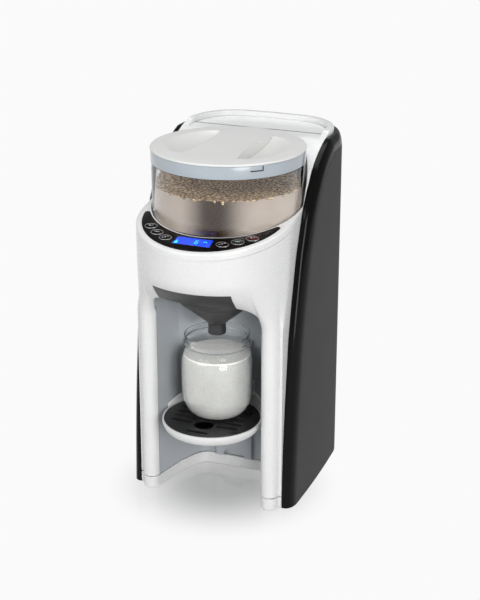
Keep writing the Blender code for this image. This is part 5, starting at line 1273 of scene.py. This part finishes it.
def ring_rows(place, grow, rise, width, depth):
    """Profile rows round an oval ring with a rounded top."""
    section = [(0.0, -depth), (width, -depth)]
    section += arc((width / 2, rise - width / 2), width / 2, 0, 180, RING_STEPS)
    rings = [on_deck(oval(place, BUTTON_LONG + grow + out, BUTTON_SHORT + grow + out), up)
             for out, up in section]
    return list(zip(*rings))


def build_control_panel():
    """Bezel, rings, six domed buttons, the display and its marks."""
    low = BEZEL_PROUD - BEZEL_THICKNESS
    bezel = rounded_plate("panel_glass", panel_outline(GAP), low, BEZEL_PROUD, BEZEL_ROUND, 2)
    depth = OVERRUN + BEZEL_THICKNESS
    cut(bezel, deck_prism("lcd_hole", lcd_outline(-GAP / 3), -depth, OVERRUN))
    ring_long = BUTTON_LONG + RING_WIDTH + GAP / 3
    ring_short = BUTTON_SHORT + RING_WIDTH + GAP / 3
    for _, place in button_places():
        cut(bezel, deck_prism("ring_hole", oval(place, ring_long, ring_short), -depth, OVERRUN))
    settle(bezel, "control_bezel", "panel_black")

    work = bmesh.new()
    for _, place in button_places():
        made = [[work.verts.new(point) for point in row]
                for row in ring_rows(place, 0.0, RING_PROUD, RING_WIDTH, RING_DEPTH)]
        bridged(work, made + made[:1], True)
    rings = from_bmesh("button_rings", work)
    settle(rings, "button_trim", "bright_metal")

    white = glow_material("button_print", PRINT_WHITE, 0.15)
    for name, place in button_places():
        across, up = BUTTON_LONG - GAP, BUTTON_SHORT - GAP
        rings = [on_deck(oval(place, across, up), -BUTTON_DEPTH)]
        for near, under in quarter(DOME_STEPS):
            outline = oval(place, across * (1 - DOME_SHARES[0] * near), up * (1 - DOME_SHARES[1] * near))
            rings.append(on_deck(outline, BUTTON_PROUD - DOME_RISE * under))
        settle(loft(name + "_cap", rings), name, "panel_black")
        number = int(name[-1])
        for k, (x, y) in enumerate(BUTTON_MARKS[number - 1]):
            corner = rectangle((place[0] + x, place[1] + y), MARK_HALF_X, MARK_HALF_YS[k])
            mark = deck_prism(f"{name}_mark_{k}", corner, BUTTON_PROUD - MARK_RISE, BUTTON_PROUD + MARK_RISE)
            settle(mark, name, "panel_black", white, True)
        if name in ACCENTS:
            rows = ring_rows(place, -INLAY_INSET, BUTTON_PROUD + MARK_RISE, INLAY_WIDTH, 0.0)
            inlay = turned_rows(name + "_inlay", rows, True)
            settle(inlay, name, "panel_black", glow_material(*ACCENTS[name]), True)
    build_display()


def build_display():
    """The blue window with one digit, a bottle sign and a short unit sign."""
    window_top = BEZEL_PROUD - GAP / 2
    window = deck_prism("display_window", lcd_outline(0.0), window_top - LCD_THICKNESS, window_top)
    settle(window, "lcd_window", "lcd_blue")
    cyan = glow_material("display_sign", SIGN_CYAN, 0.9)
    half = DIGIT_BAR / 2
    wide, tall = DIGIT_HALF
    bars = [((0.0, y), wide, half) for y in (tall - half, 0.0, half - tall)]
    bars += [((x, y), half, tall / 2) for x, y in ((half - wide, tall / 2), (half - wide, -tall / 2),
                                                    (wide - half, -tall / 2))]
    signs = [rectangle((DIGIT_PLACE[0] + x, DIGIT_PLACE[1] + y), across, up) for (x, y), across, up in bars]
    right = [(BOTTLE_SIGN_PLACE[0] + x, BOTTLE_SIGN_PLACE[1] + y) for x, y in BOTTLE_SIGN]
    left = [(BOTTLE_SIGN_PLACE[0] - x, BOTTLE_SIGN_PLACE[1] + y) for x, y in reversed(BOTTLE_SIGN)]
    signs.append(right + left)
    signs += [oval(place, *UNIT_SIGN_HALF, 16) for place in UNIT_SIGN_PLACES]
    for k, outline in enumerate(signs):
        sign = deck_prism(f"display_sign_{k}", outline, window_top - MARK_RISE, window_top + MARK_RISE)
        settle(sign, "lcd_window", "lcd_blue", cyan, True)


def build_container():
    """Clear drum, collar, powder and lid."""
    center = (0.0, CONTAINER_Y)
    low = SEAT_Z + SEAT_THICKNESS + GAP
    floor = low + CONTAINER_FLOOR
    top = COLLAR_Z - GAP
    inner = CONTAINER_RADIUS - CONTAINER_WALL
    hole = SPINDLE_RADIUS + RUN_GAP
    profile = softened([(hole, low), (CONTAINER_RADIUS, low), (CONTAINER_RADIUS, top), (inner, top),
                        (inner, floor), (hole, floor)],
                       [0.0, CONTAINER_ROUND, 0.0004, 0.0004, 0.0012, 0.0], 6)
    drum = turned("powder_drum", profile, center)
    bore(drum, CHUTE_BORE, low, floor, (0.0, SPOUT_Y))
    settle(drum, "powder_container", "clear_plastic")
    build_collar(center, inner)
    outer = inner - GAP
    cavity = floor + CAVITY_HEIGHT
    crown = [(outer, POWDER_TOP_Z), (outer * 0.9, POWDER_TOP_Z - POWDER_DISH * 0.1),
             (outer * 2 / 3, POWDER_TOP_Z - POWDER_DISH / 3), (outer / 3, POWDER_TOP_Z - POWDER_DISH),
             (0.0, POWDER_TOP_Z - POWDER_DISH)]
    profile = [(POWDER_CAVITY_RADIUS, floor + GAP), (outer, floor + GAP)] + flowing(crown, 6)
    profile += [(0.0, cavity), (POWDER_CAVITY_RADIUS, cavity)]
    powder = turned("milk_powder", profile, center)
    settle(powder, "powder", "powder_cream")
    build_lid(center)


def build_collar(center, inner):
    """Blue-grey collar with the lid's bayonet mark."""
    collar_inner = COLLAR_RADIUS - COLLAR_WALL
    skirt = inner - GAP
    shelf = COLLAR_Z + COLLAR_WALL
    skirt_inner = skirt - COLLAR_WALL
    low = COLLAR_Z - COLLAR_SKIRT
    profile = [(COLLAR_RADIUS, COLLAR_Z), (COLLAR_RADIUS, COLLAR_TOP_Z), (collar_inner, COLLAR_TOP_Z),
               (collar_inner, shelf), (skirt_inner, shelf), (skirt_inner, low), (skirt, low),
               (skirt, COLLAR_Z)]
    collar = turned("drum_collar", softened(profile, COLLAR_ROUND, 3), center)
    settle(collar, "container_collar", "collar_grey")
    low = COLLAR_TOP_Z - MARK_DROP
    upright = MARK_WIDTH / COLLAR_RADIUS * 180 / pi
    strokes = ((MARK_ANGLE, MARK_ANGLE + upright, COLLAR_TOP_Z - MARK_TOP_GAP),
               (MARK_ANGLE - MARK_TURN, MARK_ANGLE, low + MARK_WIDTH))
    for k, (first, last, high) in enumerate(strokes):
        outline = arc(center, COLLAR_RADIUS - MARK_SUNK, first, last, 8)
        outline += reversed(arc(center, COLLAR_RADIUS + MARK_RISE, first, last, 8))
        mark = prism(f"collar_mark_{k}", outline, low, high)
        settle(mark, "container_collar", "collar_grey", MATERIALS["mark_black"], True)


def lid_z(radius):
    """Height of the lid's low dome at a radius."""
    share = min(radius / (LID_RADIUS - LID_EDGE), 1.0)
    return COLLAR_TOP_Z + GAP + LID_EDGE + LID_DOME * (1.0 - share ** 3)


def scoop_cutter(side):
    """One finger scoop of the lid: a wall along the grip bar and a floor that runs out at its round edge."""
    rise = SCOOP_OUTER_X - SCOOP_INNER_X
    back = (SCOOP_HALF_Y ** 2 - rise ** 2) / (2 * rise)
    radius = rise + back
    rings = []
    for k in range(1, SCOOP_STEPS):
        along = -cos(pi * k / SCOOP_STEPS)
        y = SCOOP_HALF_Y * along
        outer = SCOOP_INNER_X - back + sqrt(radius ** 2 - y ** 2)
        full = 1.0 - along * along
        crest = SCOOP_INNER_X - SCOOP_BULGE * full
        foot = SCOOP_INNER_X + SCOOP_DRAFT * full
        ring = [(crest, SCOOP_LIFT + OVERRUN), (crest, SCOOP_LIFT)]
        for across in spread(0.0, 1.0, SCOOP_FLOOR_STEPS):
            x = foot + (outer - foot) * across
            depth = (SCOOP_DEPTH + SCOOP_LIFT) * full ** 0.6 * (1.0 - across) ** 1.1
            ring.append((x, SCOOP_LIFT - depth))
        ring.append((outer, SCOOP_LIFT + OVERRUN))
        rings.append([(side * x, CONTAINER_Y + y, lid_z(sqrt(x * x + y * y)) + up) for x, up in ring])
    return loft("scoop", rings)


def build_lid(center):
    """White lid with a soft edge, a low dome and two finger scoops."""
    low = COLLAR_TOP_Z + GAP
    edge = low + LID_EDGE
    plug = low - LID_PLUG_DEPTH
    flat = LID_RADIUS - LID_EDGE
    crown = [(flat * k / 12, lid_z(flat * k / 12)) for k in range(11, -1, -1)]
    side = arc((flat, edge - LID_EDGE), LID_EDGE, 5, 90, 7)
    profile = [(0.0, plug), (LID_PLUG_RADIUS, plug), (LID_PLUG_RADIUS, low), (LID_RADIUS - LID_STEP, low)]
    lid = turned("drum_lid", profile + side + crown, center)
    cut(lid, scoop_cutter(1), scoop_cutter(-1))
    settle(lid, "container_lid", "white_gloss", MATERIALS["lid_white"])


def build_top_cover():
    """White rear and top housing: pocket behind the container, recess and raised rim."""
    heights = [TOP_COVER_Z] + [float(z) for z in FLANK_LINE[:, 1] if z > TOP_COVER_Z + 0.001]
    levels = [(z, flank_y(z)) for z in heights]
    outer = [at_height(mirrored(inner_half(0.0, y)), z) for z, y in levels]
    last_y = levels[-1][1]
    rim_low, rim_high = [last_y + FLANK_SWEEP * share for share in RIM_SHARES]
    for near, under in quarter(RIM_STEPS):
        half = inner_half(RIM_ROUND * near, rim_low + (rim_high - rim_low) * near)
        outer.append(at_height(mirrored(half), RIM_TOP_Z - RIM_ROUND * under))
    cover = loft("top_housing", outer)
    opening = mirrored(inner_half(RIM_WIDTH, TANK_LID_FRONT_Y - TANK_OPENING_GAP))
    near = HEAD_Y - HEAD_DEPTH
    far = CORNER_Y + CORNER_RADIUS + OVERRUN
    plan = [(-SIDE_HALF, near), (SIDE_HALF, near), (SIDE_HALF, far), (-SIDE_HALF, far)]
    high = [(x, y, deck_z(y, -GAP)) for x, y in plan]
    cut(cover, well_cutter(SEAT_Z - WELL_BELOW, POCKET_RADIUS),
        prism("recess", mirrored(inner_half(RIM_WIDTH, HEAD_Y)), RECESS_Z, RIM_TOP_Z + OVERRUN),
        prism("tank_opening", opening, TOP_COVER_Z - OVERRUN, RECESS_Z + OVERRUN),
        loft("deck_plane", [at_height(plan, SEAT_Z - 2 * WELL_BELOW), high]))
    settle(cover, "top_cover", "white_gloss")


def build_funnel():
    """Funnel with its flange, and the cover that closes the head in front of it."""
    center = (0.0, SPOUT_Y)
    low = BAY_CEILING_Z + LINER_WALL + GAP
    high = low + FLANGE_THICKNESS
    outer = [(SPOUT_RADIUS, SPOUT_TIP_Z), (SPOUT_RADIUS, CONE_LOW_Z), (FUNNEL_RADIUS, CONE_TOP_Z),
             (FUNNEL_RADIUS, high)]
    inner = [(r - FUNNEL_WALL, z) for r, z in reversed(outer)]
    sizes = [0.0005, 0.003, 0.002, 0.0003, 0.0003, 0.002, 0.003, 0.0005]
    funnel = turned("powder_funnel", softened(outer + inner, sizes, 5), center)
    line = [(x, front_y(x, low) + COVER_THICKNESS + RUN_GAP) for x in spread(0.0, FLANGE_HALF, FLANGE_STEPS)]
    back = SPOUT_Y + FLANGE_HALF - GAP
    outline = both_sides(line) + [(FLANGE_HALF, back), (-FLANGE_HALF, back)]
    flange = prism("flange", outline, low, high)
    bore(flange, FUNNEL_RADIUS - FUNNEL_WALL / 2, low, high, center, FINE_STEPS)
    fuse(funnel, flange)
    settle(funnel, "funnel", "funnel_grey")
    rings = []
    places = spread(-COVER_HALF, COVER_HALF, COVER_COLUMNS)
    for z in spread(BAY_CEILING_Z, COVER_TOP_Z, COVER_ROWS):
        rings.append([(x, front_y(x, z), z) for x in places]
                     + [(x, front_y(x, z) + COVER_THICKNESS, z) for x in reversed(places)])
    settle(loft("funnel_front", rings), "funnel_cover", "funnel_grey")


def slot_outline(center, length, width):
    """A slot with round ends."""
    reach = length / 2 - width / 2
    right = arc((center[0] + reach, center[1]), width / 2, -90, 90, 8)
    left = arc((center[0] - reach, center[1]), width / 2, 90, 270, 8)
    return right + left


def build_tray():
    """Drip tray dish, slotted grid and the carrier behind them."""
    center = (0.0, TRAY_Y)
    base = [(0.0, TRAY_OUTSIDE[0][1])] + flowing(TRAY_OUTSIDE, 5)
    inside = list(TRAY_INSIDE) + [(0.0, TRAY_INSIDE[-1][1])]
    dish = turned("tray_dish", base + inside, center)
    settle(dish, "drip_tray", "white_gloss", dish_material())
    low = GRID_TOP_Z - GRID_THICKNESS
    profile = softened([(0.0, low), (GRID_RADIUS, low), (GRID_RADIUS, GRID_TOP_Z), (0.0, GRID_TOP_Z)],
                       [0.0, 0.0003, 0.0005, 0.0], 3)
    grid = turned("tray_grille", profile, center)
    slots = [(0.0, FRONT_SLOT)]
    slots += [(side * SLOT_X, SLOT_FIRST + SLOT_PITCH * k) for side in (-1, 1) for k in range(SLOT_COUNT)]
    for x, y in slots:
        cut(grid, prism("slot", slot_outline((x, TRAY_Y + y), SLOT_LENGTH, SLOT_WIDTH),
                        low - OVERRUN, GRID_TOP_Z + OVERRUN))
    bore(grid, FINGER_HOLE_RADIUS, low, GRID_TOP_Z, (0.0, TRAY_Y + FINGER_HOLE))
    settle(grid, "tray_grid", "tray_black")
    build_carrier()


def build_carrier():
    """Collar behind the dish that rises to the rear, with a plate clipped on the rail."""
    rows = []
    for angle in spread(radians(CARRIER_START), pi - radians(CARRIER_START), CARRIER_STEPS):
        top = CARRIER_TOP_Z + CARRIER_RISE * max(sin(angle), 0.0)
        profile = [(CARRIER_PROFILE[0][0], top)] + list(CARRIER_PROFILE) + [(CARRIER_PROFILE[-1][0], top)]
        rows.append([(r * cos(angle), TRAY_Y + r * sin(angle), z)
                     for r, z in softened(profile, CARRIER_ROUND, 3)])
    carrier = turned_rows("tray_holder", rows, False)
    rail_front = BAY_REAR_Y - RAIL_DEPTH
    plate_near = TRAY_Y + CARRIER_PROFILE[-1][0] - 2 * GAP
    half = RAIL_HALF + GAP + CARRIER_CLIP
    fuse(carrier, box("plate", (-half, plate_near, CARRIER_PLATE_LOW),
                      (half, rail_front - GAP, CARRIER_PLATE_TOP)))
    groove_rear = BAY_REAR_Y - RAIL_BACK
    for side in (-1, 1):
        far = (half, groove_rear - GAP, CARRIER_PLATE_TOP)
        toe = (RAIL_HALF - CARRIER_TOE, groove_rear - RAIL_GROOVE + GAP, CARRIER_PLATE_LOW)
        fuse(carrier, side_box("clip", side, (RAIL_HALF + GAP, rail_front - 2 * GAP, CARRIER_PLATE_LOW), far),
             side_box("toe", side, toe, far))
    settle(carrier, "tray_carrier", "white_gloss")


def build_bottle():
    """Wide-neck bottle and the milk in it."""
    center = (0.0, SPOUT_Y)
    base = BOTTLE_BODY[0][1]
    body = flowing(BOTTLE_BODY, 6)
    outside = [(0.0, base)] + body + softened(BOTTLE_NECK, NECK_ROUND)
    inner_points = list(BOTTLE_BODY) + [BOTTLE_NECK[-1]]
    inside_line = [(r - BOTTLE_WALL, max(z, base + BOTTLE_WALL)) for r, z in flowing(inner_points, 6)]
    profile = outside + inside_line[::-1] + [(0.0, base + BOTTLE_WALL)]
    bottle = turned("feeding_bottle", profile, center)
    settle(bottle, "bottle", "clear_plastic", MATERIALS["bottle_clear"])
    fill = [(r - GAP / 2, z + GAP / 2) for r, z in inside_line if z < MILK_TOP_Z]
    profile = [(0.0, fill[0][1])] + fill + [(0.0, fill[-1][1])]
    milk = turned("bottle_milk", profile, center)
    settle(milk, "milk", "milk_white")


def finish_cad_nodes():
    """Give the pieces that stay as in the CAD model their finishes and softer edges."""
    kept = {
        # Painted shade: the inner white parts share the darker blue-grey.
        "white_inner": ("container_seat", "powder_chute", "stirring_wheel", "stirring_arms", "gear_case",
                        "tank_platform"),
        "black_rubber": ("lid_gasket", "tank_valve") + FEET,
        "gear_plastic": ("drive_gear", "motor_pinion"),
        "steel": ("drive_spindle", "drive_motor", "pump", "heater", "display_module") + SCREWS,
        "board_green": ("control_board", "power_board"),
        "hose_grey": ("water_nozzle", "tank_hose", "heater_hose", "nozzle_hose"),
        "panel_black": ("inlet_socket", "switch_frame", "power_rocker"),
        "white_gloss": ("tank_lid",),
        "clear_plastic": ("water_tank",),
    }
    for slot, names in kept.items():
        for name in names:
            item = frame["nodes"][name]
            item.data.materials.clear()
            item.data.materials.append(MATERIALS[slot])
            edges_rounded(item, *KEPT_EDGE)


def build_stage():
    """Pale backdrop, and a floor that reflects the machine close to it and fades into the backdrop."""
    floor = box("floor", (-FLOOR_HALF, -FLOOR_HALF, -0.02), (FLOOR_HALF, FLOOR_HALF, 0.0))
    made, tree, shader = blank("floor", {"Base Color": FLOOR_GREY, "IOR": 2.0})
    cloud = noise(tree, 3.0)
    tree.links.new(ranged(tree, cloud, 0.03, 0.05), shader.inputs["Roughness"])
    glow = shader_node(tree, "Emission", None, {"Color": BACKDROP})
    seen = seen_by(tree, "Is Camera Ray", "Is Glossy Ray", "Is Transmission Ray")
    shift = shader_node(tree, "VectorMath", {"operation": "SUBTRACT"}, {1: REFLECTION_MIDDLE})
    tree.links.new(shader_node(tree, "TexCoord").outputs["Object"], shift.inputs[0])
    away = shader_node(tree, "VectorMath", {"operation": "LENGTH"})
    tree.links.new(shift.outputs[0], away.inputs[0])
    fading = ranged(tree, away.outputs["Value"], 0.30, 1.0, REFLECTION_NEAR, REFLECTION_FAR, True)
    crossed(tree, joined(tree, "MULTIPLY", seen, fading), shader, glow)
    floor.data.materials.append(made)

    world = bpy.data.worlds.new("studio")
    bpy.context.scene.world = world
    world.use_nodes = True
    nodes = world.node_tree
    back = nodes.nodes["Background"]
    back.inputs["Color"].default_value = ROOM_LIGHT
    white = shader_node(nodes, "Background", None, {"Color": FAR_BACKDROP})
    crossed(nodes, seen_by(nodes, "Is Camera Ray", "Is Transmission Ray"), back, white, "World Output")


def build_lights():
    """Three soft lamps: front left, right and above."""
    for name, (place, size, power) in LAMPS.items():
        lamp = bpy.data.lights.new(name, "AREA")
        lamp.shape = "RECTANGLE"
        lamp.size, lamp.size_y = size
        lamp.energy = power
        item = bpy.data.objects.new(name, lamp)
        item.location = place
        item.rotation_euler = (Vector(LAMP_TARGET) - Vector(place)).to_track_quat("-Z", "Y").to_euler()
        bpy.context.scene.collection.objects.link(item)


def build_camera():
    """The photograph's viewpoint."""
    camera = bpy.data.cameras.new("camera")
    camera.lens = CAMERA_LENS
    camera.sensor_width = SENSOR
    item = bpy.data.objects.new("camera", camera)
    item.location = CAMERA_PLACE
    item.rotation_euler = (radians(90 - CAMERA_DOWN), 0.0, radians(CAMERA_TURN))
    bpy.context.scene.collection.objects.link(item)
    bpy.context.scene.camera = item


def main():
    """Dress the model."""
    MATERIALS.update(make_materials())
    build_wrap_shell()
    build_front_shell()
    build_bay_liner()
    build_base_plate()
    build_deck_cover()
    build_control_panel()
    build_container()
    build_top_cover()
    build_funnel()
    build_tray()
    build_bottle()
    finish_cad_nodes()
    build_stage()
    build_lights()
    build_camera()
    bpy.context.scene.view_settings.view_transform = "Standard"


main()
